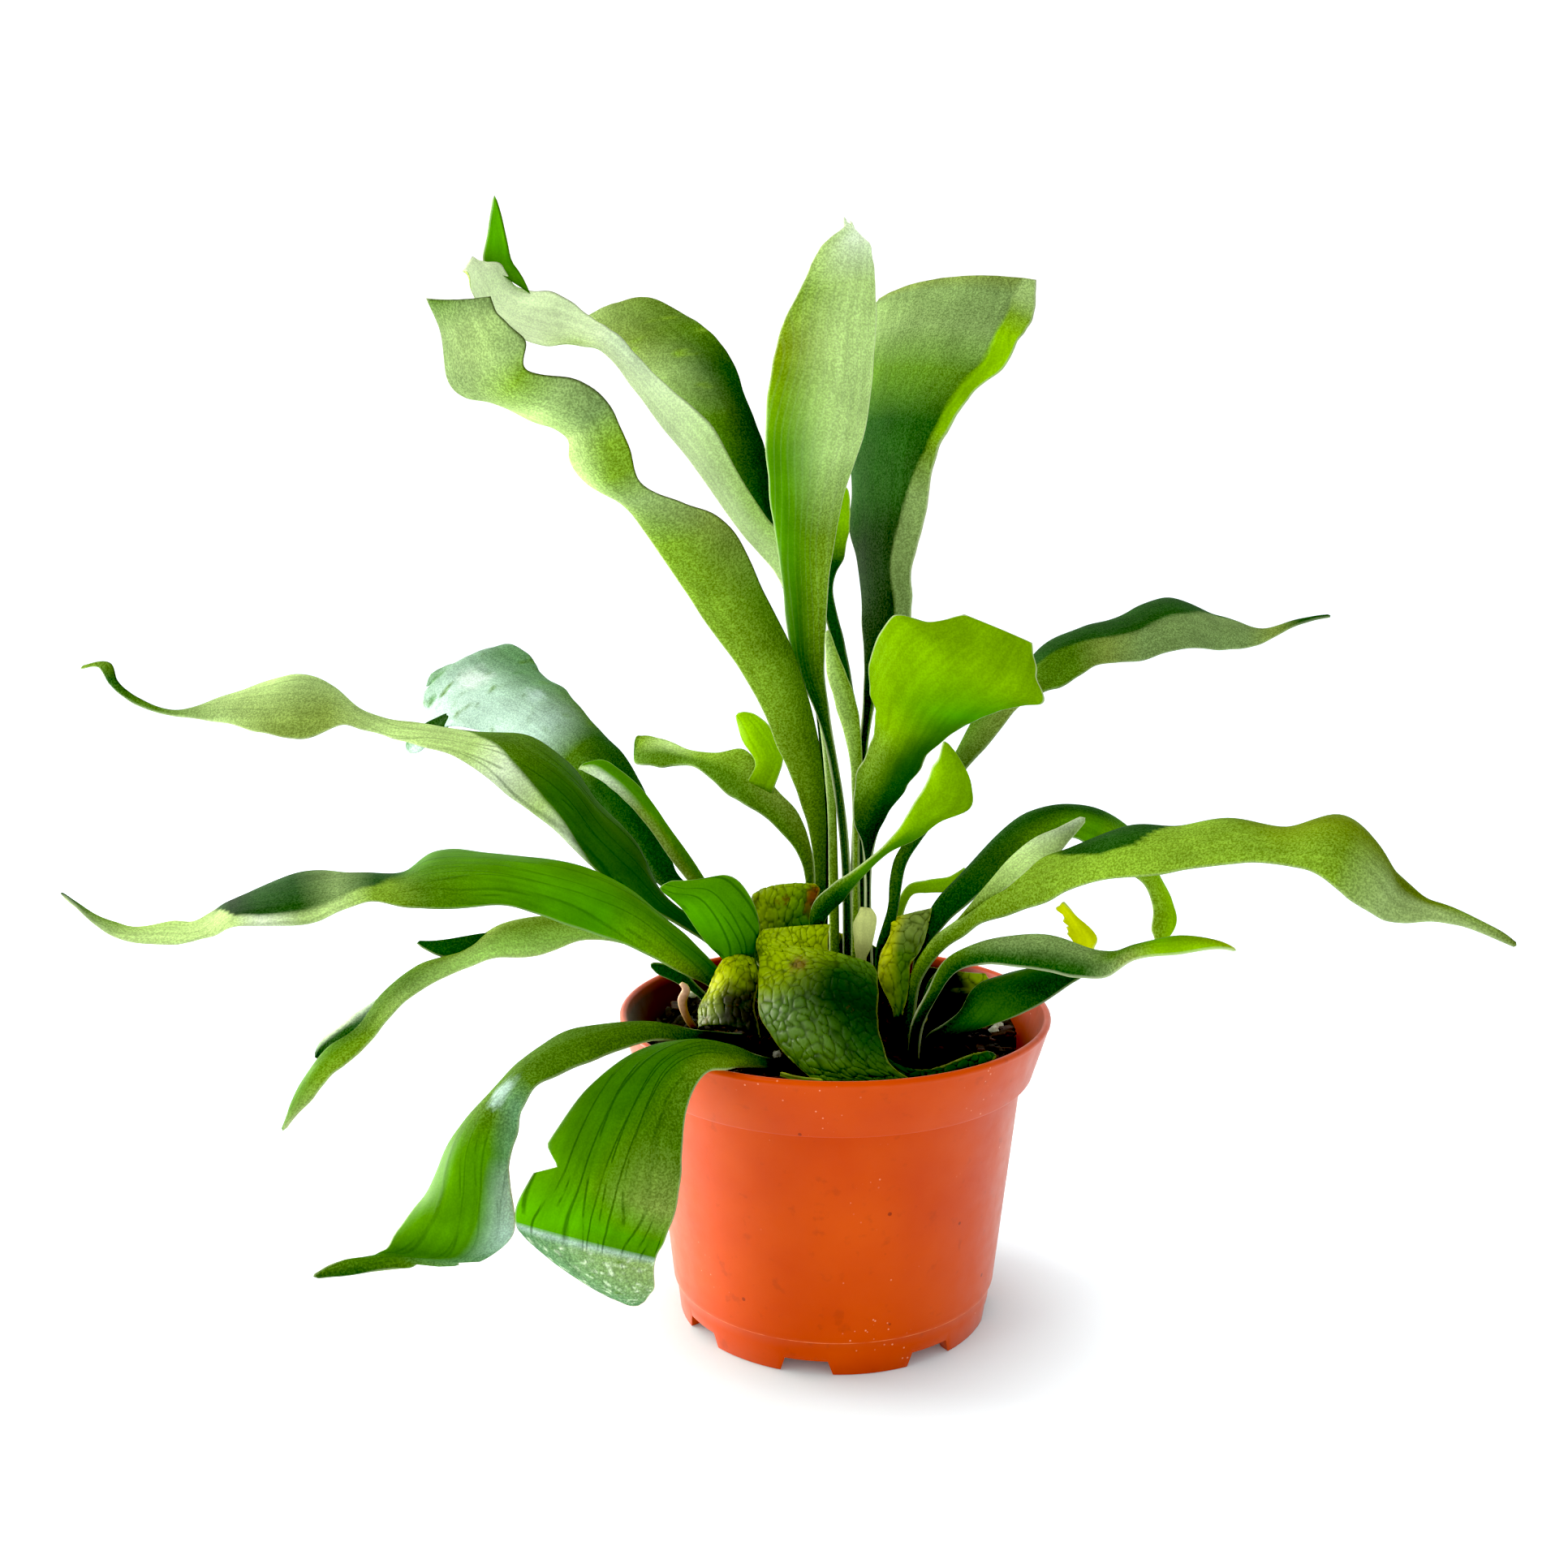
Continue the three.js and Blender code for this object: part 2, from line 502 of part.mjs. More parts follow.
// The shield fronds clasp the root ball. They are drawn in the same way, from the bottom up.
const shields = [
  {
    name: 'shield_front', colour: 0x9aae12, rows: [
      [-3, -52, 83, 21, -50.5, 83.5, 2],
      [-10, -46, 86, 14, -50, 89, 5],
      [-16.5, -39, 92, 12, -43, 94, 7],
      [-19.5, -33, 96, 11, -37, 99, 8],
      [-20.5, -26, 103, 11.5, -30, 104.5, 8],
      [-20.5, -21, 110, 7, -25, 107, 6],
      [-18.5, -19, 114, 0.5, -22, 111, 4],
      [-10, -18, 115, -2, -19, 114, 1],
    ], lobes: [
      { from: [0.25, 0.7, 0.04, 0.7], rows: [
        [18.5, -48, 87, 20.5, -50, 84, 1],
        [25.5, -45.5, 85.5, 27, -47, 84, 0.5],
        [32.5, -42, 86.5, 33.5, -43.5, 84.5, 0.5],
        [39, -38, 87.5, 40, -39.5, 85, 0.5],
      ] },
    ],
  },
  {
    name: 'shield_left', colour: 0x8aa018, rows: [
      [-36.5, -27, 89.5, -19.5, -36, 90.5, 3],
      [-37, -24, 93, -19, -31, 94.5, 4],
      [-34, -21, 97.5, -19.5, -27, 98.5, 4],
      [-32.5, -18, 101, -19.5, -22, 102.5, 4],
      [-30.5, -15, 104, -20.5, -18, 106, 3],
    ],
  },
  {
    name: 'shield_back', colour: 0x7f9420, rows: [
      [-18, -13, 91, -8, -13, 91, 1],
      [-20, -11.5, 99, -7.5, -11, 100, 1],
      [-21, -10, 107, -6.5, -9, 109, 1],
      [-21.5, -9, 114.5, -6.5, -8, 115.5, 2],
      [-23, -7, 120.5, -4, -7, 122.5, 2],
      [-18.5, -6, 121.5, -5.5, -6, 123.5, 1],
    ],
  },
  {
    name: 'shield_right', colour: 0x8f8f24, rows: [
      [15.5, -24, 91.5, 18, -23, 92, 0],
      [13, -19, 100.5, 19.5, -18, 101.5, 1],
      [14.5, -15, 106.5, 22.5, -13, 106, 2],
      [15.5, -11, 113, 25, -9, 113, 2],
      [17, -9, 115.5, 26, -7, 117.5, 1],
    ],
  },
  {
    name: 'shield_dead', colour: 0x2a1a12, rows: [
      [21, -20, 84, 24.5, -20, 81, 0],
      [25, -22, 95, 30.5, -22, 91, 1],
      [28, -23, 103, 37, -24, 97, 2],
      [33, -24, 104.5, 39.5, -24, 102.5, 1],
    ],
  },
  {
    name: 'shield_rear', colour: 0x6f6a2a, rows: [
      [-29, 16, 82, 26, 16, 82, -14],
      [-26, 15, 90, 23, 15, 90, -13],
      [-20, 12, 97, 17, 12, 97, -11],
      [-11, 12, 103, 8, 12, 103, -7],
    ],
  },
];

function rad(degrees) {
  return degrees * Math.PI / 180;
}

// A closed geometry as a solid, with its vertices shared
function solidOf(geometry) {
  geometry.deleteAttribute('normal');
  geometry.deleteAttribute('uv');
  const merged = mergeVertices(geometry, 1e-3);
  return new wasm.Manifold(new wasm.Mesh({
    numProp: 3,
    vertProperties: new Float32Array(merged.attributes.position.array),
    triVerts: new Uint32Array(merged.index.array),
  }));
}

// What a cut leaves can include loose scraps, which aren't kept
function largestPiece(solid) {
  return solid.decompose().reduce((best, piece) => (piece.volume() > best.volume() ? piece : best));
}

function meshOf(name, solid, colour, roughness) {
  const { vertProperties, triVerts } = solid.getMesh();
  const geometry = new THREE.BufferGeometry();
  geometry.setAttribute('position', new THREE.BufferAttribute(vertProperties, 3));
  geometry.setIndex(new THREE.BufferAttribute(triVerts, 1));
  geometry.computeVertexNormals();
  const mesh = new THREE.Mesh(geometry, new THREE.MeshStandardMaterial({ color: colour, roughness }));
  mesh.name = name;
  return mesh;
}

// A smooth curve through points, which can be asked for a place from 0 to 1 and a little past its ends
function smoothCurve(points) {
  const curve = new THREE.CatmullRomCurve3(points);
  return { length: curve.getLength(), at: (t) => curve.getPoint(Math.min(Math.max(t, 0), 1)) };
}

// A blade's middle surface as a function of s, from stalk to tip, and u, from left to right.
// It bulges between its margins, and the margins wave.
function surfaceOf(rows) {
  const left = smoothCurve(rows.map(([x, y, z]) => new THREE.Vector3(x, y, z)));
  const right = smoothCurve(rows.map(([, , , x, y, z]) => new THREE.Vector3(x, y, z)));
  const midrib = smoothCurve(rows.map((r) => new THREE.Vector3(r[0] + r[3], r[1] + r[4], r[2] + r[5])
    .divideScalar(2)));
  const bulge = smoothCurve(rows.map((r, i) => new THREE.Vector3(i, 0, r[6])));
  const near = 0.01;
  const point = (s, u) => {
    const start = left.at(s);
    const across = right.at(s).sub(start);
    const growth = midrib.at(s + near).sub(midrib.at(s - near));
    const out = across.clone().cross(growth).normalize();
    const fromMidrib = 2 * u - 1;
    const waveShare = Math.min(1, across.length() / fullWaveWidth) * fromMidrib * Math.abs(fromMidrib);
    const wave = waveHeight * waveShare * Math.sin(2 * Math.PI * s * midrib.length / waveLength);
    const lift = bulge.at(s).z * (1 - fromMidrib ** 2) + wave;
    return start.addScaledVector(across, u).addScaledVector(out, lift);
  };
  return { point, length: midrib.length };
}

// A thin solid about the middle surface, grown on all sides by a margin where it is asked for.
// Its two faces have the same triangles, so they never cross.
function bladeSolid(surface, thicknessAt, columns, grow = 0) {
  const steps = Math.max(5, Math.round(surface.length / rowSpacing));
  const near = 1e-3;
  const corners = [];
  for (let i = 0; i <= steps; i += 1) {
    for (let j = 0; j <= columns; j += 1) {
      const s = i / steps;
      const u = j / columns;
      const alongS = surface.point(Math.min(s + near, 1), u).sub(surface.point(Math.max(s - near, 0), u));
      const alongU = surface.point(s, Math.min(u + near, 1)).sub(surface.point(s, Math.max(u - near, 0)));
      const half = alongU.clone().cross(alongS).setLength(thicknessAt(s) / 2 + grow);
      const middle = surface.point(s, u)
        .addScaledVector(alongU.normalize(), grow * (Number(j === columns) - Number(j === 0)))
        .addScaledVector(alongS.normalize(), grow * (Number(i === steps) - Number(i === 0)));
      corners.push(middle.clone().add(half), middle.sub(half));
    }
  }

  const front = (i, j) => 2 * (i * (columns + 1) + j);
  const back = (i, j) => front(i, j) + 1;
  const triangles = [];
  const quad = (a, b, c, d) => triangles.push(a, b, c, a, c, d);
  for (let i = 0; i < steps; i += 1) {
    for (let j = 0; j < columns; j += 1) {
      quad(front(i, j), front(i, j + 1), front(i + 1, j + 1), front(i + 1, j));
      quad(back(i, j), back(i + 1, j), back(i + 1, j + 1), back(i, j + 1));
    }
    quad(front(i + 1, 0), back(i + 1, 0), back(i, 0), front(i, 0));
    quad(front(i, columns), back(i, columns), back(i + 1, columns), front(i + 1, columns));
  }
  for (let j = 0; j < columns; j += 1) {
    quad(front(0, j + 1), front(0, j), back(0, j), back(0, j + 1));
    quad(front(steps, j), front(steps, j + 1), back(steps, j + 1), back(steps, j));
  }
  return new wasm.Manifold(new wasm.Mesh({
    numProp: 3,
    vertProperties: new Float32Array(corners.flatMap((corner) => corner.toArray())),
    triVerts: new Uint32Array(triangles),
  }));
}

// The stalk starts inside the rhizome, with a row that lies across as the row after it does
function rowsFromBase({ base, rows }) {
  const [x1, y1, z1, x2, y2, z2] = rows[0];
  const halfWidth = new THREE.Vector3(x2 - x1, y2 - y1, z2 - z1).setLength(stalkWidth / 2);
  const start = new THREE.Vector3(...base);
  return [[...start.clone().sub(halfWidth), ...start.add(halfWidth), 0], ...rows];
}

// A lobe is a narrower blade rooted in its frond. Its from holds the s and u of its root's two ends.
function makeLobe({ from, rows }, parentSurface) {
  const [leftS, leftU, rightS, rightU] = from;
  const root = [...parentSurface.point(leftS, leftU), ...parentSurface.point(rightS, rightU), 0];
  const thicknessAt = (s) => THREE.MathUtils.lerp(lobeRootThickness, bladeThickness, Math.min(1, 2 * s));
  return bladeSolid(surfaceOf([root, ...rows]), thicknessAt, 2);
}

// A frond or a shield as a solid, with the room that its neighbours leave for it
function growBlade(blade) {
  const { base, lobes = [], columns = bladeColumns, thickness = bladeThickness } = blade;
  const surface = surfaceOf(base ? rowsFromBase(blade) : blade.rows);
  const stalkShare = (s) => (base ? Math.max(0, 1 - s / stalkPart) : 0);
  const thicknessAt = (s) => THREE.MathUtils.lerp(thickness, stalkThickness, stalkShare(s));
  const solid = lobes.reduce(
    (whole, lobe) => whole.add(makeLobe(lobe, surface)),
    bladeSolid(surface, thicknessAt, columns),
  );
  return { ...blade, solid, room: bladeSolid(surface, thicknessAt, columns, clearance) };
}

function lathe(profile, sides) {
  return new THREE.LatheGeometry(profile.map(([r, z]) => new THREE.Vector2(r, z)), sides)
    .rotateX(Math.PI / 2);
}

function makePot() {
  const bandBottom = potHeight - bandHeight;
  const footInner = footRadius - footRing;
  const underFloor = floorHeight - wall;
  const rimInner = rimRadius - rimLip;
  let pot = solidOf(lathe([
    [0, 0], [padRadius, 0], [padRadius + 1, underFloor], [footInner - 1, underFloor],
    [footInner, 0], [footRadius, 0], [footTopRadius, stepHeight - edgeRound], [stepRadius, stepHeight],
    [bodyTopRadius, bandBottom], [bandBottomRadius, bandBottom + edgeRound],
    [rimRadius - edgeRound, potHeight - rimLip],
    [rimRadius, potHeight - edgeRound], [rimRadius - edgeRound, potHeight],
    [rimInner + edgeRound, potHeight], [rimInner, potHeight - edgeRound],
    [bandBottomRadius - wall, bandBottom + wall], [bodyTopRadius - wall, bandBottom - wall],
    [stepRadius - wall, stepHeight], [footTopRadius - 2 * wall, floorHeight], [0, floorHeight],
  ], potSides));
  const notchWidth = 2 * footRadius * Math.sin(rad(notchAngle / 2));
  for (let k = 0; k < notchCount; k += 1) {
    const angle = rad(firstNotch + k * 360 / notchCount);
    const notch = new THREE.BoxGeometry(2 * notchDepth, notchWidth, 2 * notchHeight)
      .translate(footRadius, 0, 0).rotateZ(angle);
    const drain = new THREE.CylinderGeometry(drainRadius, drainRadius, 4 * floorHeight, 16)
      .rotateX(Math.PI / 2).translate(drainCircle, 0, 0).rotateZ(angle);
    pot = pot.subtract(solidOf(notch)).subtract(solidOf(drain));
  }
  return pot;
}

// Height of the lumps on the soil at a place, in millimetres
function lumpAt(x, y) {
  const broad = Math.sin(0.61 * x + 0.37 * y);
  const narrow = Math.sin(0.29 * x - 0.83 * y + 1);
  return soilLump * (broad + 0.6 * narrow);
}

// The soil fills the pot up to its level, a little clear of the pot's wall
function makeSoil() {
  const bandBottom = potHeight - bandHeight;
  const gap = 3 * clearance;
  const top = bodyTopRadius - wall - gap;
  const geometry = lathe([
    [0, floorHeight + clearance], [footTopRadius - 2 * wall - gap, floorHeight + clearance],
    [stepRadius - wall - gap, stepHeight], [top, bandBottom], [top, soilLevel - 2],
    ...soilRings.map((ring) => [ring * top, soilLevel]), [0, soilLevel],
  ], soilSides);
  const place = geometry.attributes.position;
  for (let i = 0; i < place.count; i += 1) {
    if (place.getZ(i) === soilLevel) {
      place.setZ(i, soilLevel + lumpAt(place.getX(i), place.getY(i)));
    }
  }
  return solidOf(geometry);
}

// The rhizome and root ball: a lumpy mound that stands in a hollow in the soil
function makeCrown(grow = 0) {
  const geometry = new THREE.SphereGeometry(1, 20, 11).rotateX(Math.PI / 2);
  const radii = crownRadii.clone().addScalar(grow);
  const place = geometry.attributes.position;
  for (let i = 0; i < place.count; i += 1) {
    const ray = new THREE.Vector3().fromBufferAttribute(place, i);
    const bump = 1 + crownBump * Math.sin(9 * ray.x + 2) * Math.sin(8 * ray.y + 3 * ray.z);
    const { x, y, z } = ray.multiplyScalar(bump).multiply(radii).add(crownCentre);
    place.setXYZ(i, x, y, z);
  }
  return solidOf(geometry);
}

const grownFronds = fronds.map(growBlade);
const grownShields = shields.map(growBlade);
const blades = [...grownFronds, ...grownShields];
let crown = makeCrown();
let soil = makeSoil().subtract(makeCrown(clearance));
for (const { room } of blades) {
  crown = crown.subtract(room);
  soil = soil.subtract(room);
}
for (const shield of grownShields) {
  const cut = grownFronds.reduce((rest, frond) => rest.subtract(frond.room), shield.solid);
  shield.solid = largestPiece(cut);
}

const plant = new THREE.Group();
plant.add(meshOf('pot', makePot(), 0xd9530f, 0.38));
plant.add(meshOf('soil', largestPiece(soil), 0x0e0e0c, 0.95));
plant.add(meshOf('rhizome', largestPiece(crown), 0x3a2a1a, 0.9));
blades.forEach(({ name, solid, colour }) => plant.add(meshOf(name, solid, colour, 0.7)));

export default plant;
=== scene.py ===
# A staghorn fern in a plastic nursery pot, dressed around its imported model.
# Lengths in the dictionaries are in millimetres, and every mesh is in metres.
import math
import random
from functools import partial
from types import SimpleNamespace

import bmesh
import bpy
import numpy as np
from mathutils import Matrix, Vector, noise


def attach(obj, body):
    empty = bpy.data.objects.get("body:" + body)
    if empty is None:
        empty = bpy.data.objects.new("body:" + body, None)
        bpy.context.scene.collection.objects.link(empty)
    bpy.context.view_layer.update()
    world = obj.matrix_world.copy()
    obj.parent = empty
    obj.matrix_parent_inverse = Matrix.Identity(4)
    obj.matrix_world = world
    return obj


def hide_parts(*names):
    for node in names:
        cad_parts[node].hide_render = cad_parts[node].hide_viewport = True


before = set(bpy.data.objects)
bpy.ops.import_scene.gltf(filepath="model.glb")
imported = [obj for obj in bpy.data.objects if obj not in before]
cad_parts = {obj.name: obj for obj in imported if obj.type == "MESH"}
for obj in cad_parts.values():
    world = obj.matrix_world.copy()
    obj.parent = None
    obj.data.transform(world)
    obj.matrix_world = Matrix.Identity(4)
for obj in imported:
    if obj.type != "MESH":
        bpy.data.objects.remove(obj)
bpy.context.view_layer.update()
mm = 0.001
print("frame loaded:", len(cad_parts), "nodes")


def colour(hexValue, alpha=1.0):  # sRGB hex to linear
    parts = [int(hexValue[i:i + 2], 16) / 255 for i in (1, 3, 5)]
    return (*(p / 12.92 if p <= 0.04045 else ((p + 0.055) / 1.055) ** 2.4 for p in parts), alpha)


def blend(a, b, share):
    return a + (b - a) * share


def addObject(name, data):
    made = bpy.data.objects.new(name, data)
    bpy.context.scene.collection.objects.link(made)
    return made


def meshFrom(bm, name):
    mesh = bpy.data.meshes.new(name)
    bm.to_mesh(mesh)
    bm.free()
    return mesh


def addPiece(name, bm, materials, nodes):
    mesh = meshFrom(bm, name)
    for material in materials:
        mesh.materials.append(material)
    piece = addObject(name, mesh)
    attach(piece, "root")
    if nodes:
        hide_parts(*nodes)
    return piece


def newMaterial(name):  # the material, and what adds a node to it
    material = bpy.data.materials.new(name)
    material.use_nodes = True
    return material, partial(addNode, material)


def addNode(owner, kind, inputs=None, **settings):
    # An input is a value, a socket or a node, of which the first output in use is linked
    tree = owner.node_tree
    found = tree.nodes.get("Principled BSDF") if kind == "BsdfPrincipled" else None
    node = found or tree.nodes.new("ShaderNode" + kind)
    for name, value in settings.items():
        setattr(node, name, value)
    for key, value in (inputs or {}).items():
        if isinstance(value, bpy.types.Node):
            value = next(socket for socket in value.outputs if socket.enabled)
        if isinstance(value, bpy.types.NodeSocket):
            tree.links.new(value, node.inputs[key])
        else:
            node.inputs[key].default_value = value
    return node


# Camera and light

photoView = {
    "distance": 440,  # in front of the pot's axis
    "height": 231.1,
    "lookDown": 10.42,  # degrees
    "lookLeft": 1.844,
    "film": 36,
    "lens": 37.55,
    "nearest": 10,
    "farthest": 20000,
}

studio = {
    "dim": 0.47,  # the world's light on the side away from the window
    "bright": 1.28,  # and on the window's own side
    "windowSide": (-0.45, 0.72, 0.52),
    "black": 0.019,  # the photograph's blacks are deeper than a plain render's
    "aim": 120,  # height that every lamp points at
    "lamps": {
        "key": {"place": (-900, -520, 900), "size": 700, "power": 5, "tint": "#fffdf6"},
        "window": {"place": (-700, 700, 620), "size": 800, "power": 3, "tint": "#ffffff"},
        "fill": {"place": (900, -900, 500), "size": 900, "power": 0.6, "tint": "#f6faff"},
        "side": {"place": (-600, 200, 70), "size": 350, "power": 10, "tint": "#fff6f0"},
    },
}

paper = {
    "halfSize": 4000,
    "drop": 0.2,  # below the pot's foot, so that the two don't share a plane
    "tone": (0.63, 0.73, 0.78, 1),
    "glow": 0.5,  # the floor glows more away from the pot so that it reads bleached white there, which leaves a painted shadow close around the pot
    "glowFrom": 30,
    "glowFull": 90,
}


def makeCamera():
    data = bpy.data.cameras.new("camera")
    data.lens = photoView["lens"]
    data.sensor_width = photoView["film"]
    data.clip_start, data.clip_end = photoView["nearest"] * mm, photoView["farthest"] * mm
    camera = addObject("camera", data)
    camera.location = (0, -photoView["distance"] * mm, photoView["height"] * mm)
    down, left = math.radians(photoView["lookDown"]), math.radians(photoView["lookLeft"])
    ahead = Vector((-math.sin(left) * math.cos(down), math.cos(left) * math.cos(down), -math.sin(down)))
    camera.rotation_euler = ahead.to_track_quat("-Z", "Y").to_euler()
    bpy.context.scene.camera = camera


def makeStudio():
    world = bpy.data.worlds.new("studioWorld")
    bpy.context.scene.world = world
    world.use_nodes = True
    direction = addNode(world, "TexCoord").outputs["Generated"]
    windowSide = Vector(studio["windowSide"]).normalized()
    towards = addNode(world, "VectorMath", {0: direction, 1: windowSide}, operation="DOT_PRODUCT")
    strength = addNode(world, "MapRange", {
        "Value": towards, "From Min": -1.0, "From Max": 1.0,
        "To Min": studio["dim"], "To Max": studio["bright"]})
    background = world.node_tree.nodes["Background"]
    background.inputs["Color"].default_value = (1, 1, 1, 1)
    world.node_tree.links.new(strength.outputs["Result"], background.inputs["Strength"])
    for name, lamp in studio["lamps"].items():
        data = bpy.data.lights.new(name, "AREA")
        data.size = lamp["size"] * mm
        data.energy = lamp["power"]
        data.color = colour(lamp["tint"])[:3]
        light = addObject(name, data)
        light.location = Vector(lamp["place"]) * mm
        towardsPlant = Vector((0, 0, studio["aim"] * mm)) - light.location
        light.rotation_euler = towardsPlant.to_track_quat("-Z", "Y").to_euler()
    view = bpy.context.scene.view_settings
    view.view_transform = "Standard"
    view.use_curve_mapping = True
    view.curve_mapping.black_level = (studio["black"],) * 3
    view.curve_mapping.update()


def makeFloor():
    bm = bmesh.new()
    bmesh.ops.create_grid(bm, x_segments=1, y_segments=1, size=paper["halfSize"] * mm)
    material, add = newMaterial("glowingPaper")
    reach = add("VectorMath", {0: add("TexCoord").outputs["Object"]}, operation="LENGTH")
    # painted shadow: no glow near the pot, full glow from glowFull on
    glow = add("MapRange", {
        "Value": reach, "From Min": paper["glowFrom"] * mm, "From Max": paper["glowFull"] * mm,
        "To Min": 0.0, "To Max": paper["glow"]})
    add("BsdfPrincipled", {
        "Base Color": paper["tone"], "Roughness": 0.9, "Emission Color": (1, 1, 1, 1),
        "Emission Strength": glow})
    floor = addObject("floor", meshFrom(bm, "floor"))
    floor.data.materials.append(material)
    floor.location.z = -paper["drop"] * mm


makeCamera()
makeStudio()
makeFloor()
print("stage set")


# Materials

leafFinish = {
    "hairTuft": 0.5,  # star-shaped hairs, drawn about twice as coarse as they are so that they show
    "hairContrast": 0.42,
    "hairCover": 0.05,
    "hairColour": "#cfe0a0",
    "veinAcross": 4.4,  # from one long vein to the next
    "veinAlong": 50,  # over which a fork crosses to the next vein
    "veinDrift": 3.6,  # how far a vein strays, in spaces between veins
    "veinShift": 40,  # in the same spaces, so that the veins aren't mirrored about the middle
    "coarseLine": 0.075,  # half of a vein's width as it fades out, as a share of its space
    "fineLine": 0.22,
    "lineCore": 0.03,
    "driftAcross": 16,
    "driftAlong": 60,
    "finerVeins": 2.6,  # how many of the pale veins there are to one dark one
    "darkVein": "#12380a",
    "paleVein": "#d8e8c0",
    "streakAcross": 1.3,
    "streakAlong": 45,
    "blotch": 13,
    "rimWidth": 0.6,
    "paleRim": "#d3e0ae",
    # a thin dark line along some margins
    "darkRim": "#2c2f16",
    "feltRoughness": 0.82,
    "relief": 0.25,
}


def leafMaterial(name, toneLayer, gloss):
    # Leathery living blade: the cuticle is satin, and a felt of star-shaped hairs makes it pale and matt.
    # The tone attribute holds the blade's colour, and in its alpha how thick the felt is.
    look = leafFinish
    material, add = newMaterial(name)
    place = add("TexCoord").outputs["Object"]
    bladePlace = add("UVMap", uv_map="blade")
    tone = add("Attribute", attribute_name=toneLayer)
    felt = tone.outputs["Alpha"]
    vein, rim, rimKind = (
        add("Attribute", attribute_name=layer).outputs["Fac"] for layer in ("vein", "rim", "rimKind"))

    tufts = add("TexNoise", {
        "Vector": place, "Scale": 1 / (look["hairTuft"] * mm), "Detail": 2.0, "Roughness": 0.6})
    tuft = add("MapRange", {"Value": tufts, "From Min": 0.4, "From Max": 0.62})
    haze = add("TexNoise", {
        "Vector": place, "Scale": 1 / (look["blotch"] * mm), "Detail": 4.0, "Roughness": 0.55})
    hazeShade = add("MapRange", {
        "Value": haze, "From Min": 0.3, "From Max": 0.7, "To Min": 0.8, "To Max": 1.16})
    stretch = add("Mapping", {
        "Vector": bladePlace, "Scale": (1 / look["streakAcross"], 1 / look["streakAlong"], 1)})
    streaks = add("TexNoise", {"Vector": stretch, "Scale": 1.0, "Detail": 3.0})
    streakShade = add("MapRange", {
        "Value": streaks, "From Min": 0.35, "From Max": 0.65, "To Min": 0.9, "To Max": 1.08})
    shade = add("Math", {0: hazeShade, 1: streakShade}, operation="MULTIPLY")
    shaded = add("VectorMath", {0: tone, 3: shade}, operation="SCALE")

    # Where the long veins, their forks and the finer pale veins run
    driftPlace = add("Mapping", {
        "Vector": bladePlace, "Scale": (1 / look["driftAcross"], 1 / look["driftAlong"], 1)})
    drift = add("TexNoise", {"Vector": driftPlace, "Scale": 1.0, "Detail": 1.0})
    spot = add("SeparateXYZ", {0: bladePlace}).outputs
    across = add("Math", {
        0: spot["X"], 1: 1 / look["veinAcross"], 2: look["veinShift"]}, operation="MULTIPLY_ADD")
    drifting = add("Math", {0: drift, 1: look["veinDrift"], 2: across}, operation="MULTIPLY_ADD")
    forking = add("Math", {0: spot["Y"], 1: 1 / look["veinAlong"], 2: drifting}, operation="MULTIPLY_ADD")
    finer = add("Math", {0: drifting, 1: look["finerVeins"]}, operation="MULTIPLY")
    lines = []
    for source, edge in ((drifting, "coarseLine"), (forking, "coarseLine"), (finer, "fineLine")):
        fromLine = add("Math", {0: source, 1: 0.5}, operation="PINGPONG")
        lines.append(add("MapRange", {
            "Value": fromLine, "From Min": look["lineCore"], "From Max": look[edge],
            "To Min": 1.0, "To Max": 0.0}))
    longWhere = add("MapRange", {"Value": streaks, "From Min": 0.36, "From Max": 0.5})
    forkWhere = add("MapRange", {"Value": haze, "From Min": 0.5, "From Max": 0.56})
    longLine = add("Math", {0: lines[0], 1: longWhere}, operation="MULTIPLY")
    forkLine = add("Math", {0: lines[1], 1: forkWhere}, operation="MULTIPLY")
    coarse = add("Math", {0: longLine, 1: forkLine}, operation="MAXIMUM")

    # A vein or rim value below zero asks for the other colour, and its size says how strong the mark is
    marks = []
    for value, tint, otherTint in ((vein, "darkVein", "paleVein"), (rimKind, "paleRim", "darkRim")):
        isOther = add("Math", {0: value, 1: 0.0}, operation="LESS_THAN")
        strength = add("Math", {0: value}, operation="ABSOLUTE")
        mark = add("Mix", {0: isOther, 6: colour(look[tint]), 7: colour(look[otherTint])}, data_type="RGBA")
        marks.append((isOther, strength, mark))
    (isPale, veinStrength, veinTone), (_, rimStrength, rimTone) = marks
    line = add("Mix", {0: isPale, 2: coarse, 3: lines[2]})
    veinShare = add("Math", {0: line, 1: veinStrength}, operation="MULTIPLY")
    veined = add("Mix", {0: veinShare, 6: shaded, 7: veinTone}, data_type="RGBA")

    tuftShade = add("MapRange", {
        "Value": tuft, "To Min": 1 - look["hairContrast"], "To Max": 1 + look["hairContrast"]})
    feltShade = add("Mix", {0: felt, 2: 1.0, 3: tuftShade})
    speckled = add("VectorMath", {0: veined, 3: feltShade}, operation="SCALE")
    hairShare = add("Math", {0: tuft, 1: felt}, operation="MULTIPLY")
    hairCover = add("Math", {0: hairShare, 1: look["hairCover"]}, operation="MULTIPLY")
    haired = add("Mix", {0: hairCover, 6: speckled, 7: colour(look["hairColour"])}, data_type="RGBA")
    rimNear = add("MapRange", {
        "Value": rim, "From Min": 0.0, "From Max": look["rimWidth"], "To Min": 0.9, "To Max": 0.0})
    rimShare = add("Math", {0: rimNear, 1: rimStrength}, operation="MULTIPLY")
    rimmed = add("Mix", {0: rimShare, 6: haired, 7: rimTone}, data_type="RGBA")

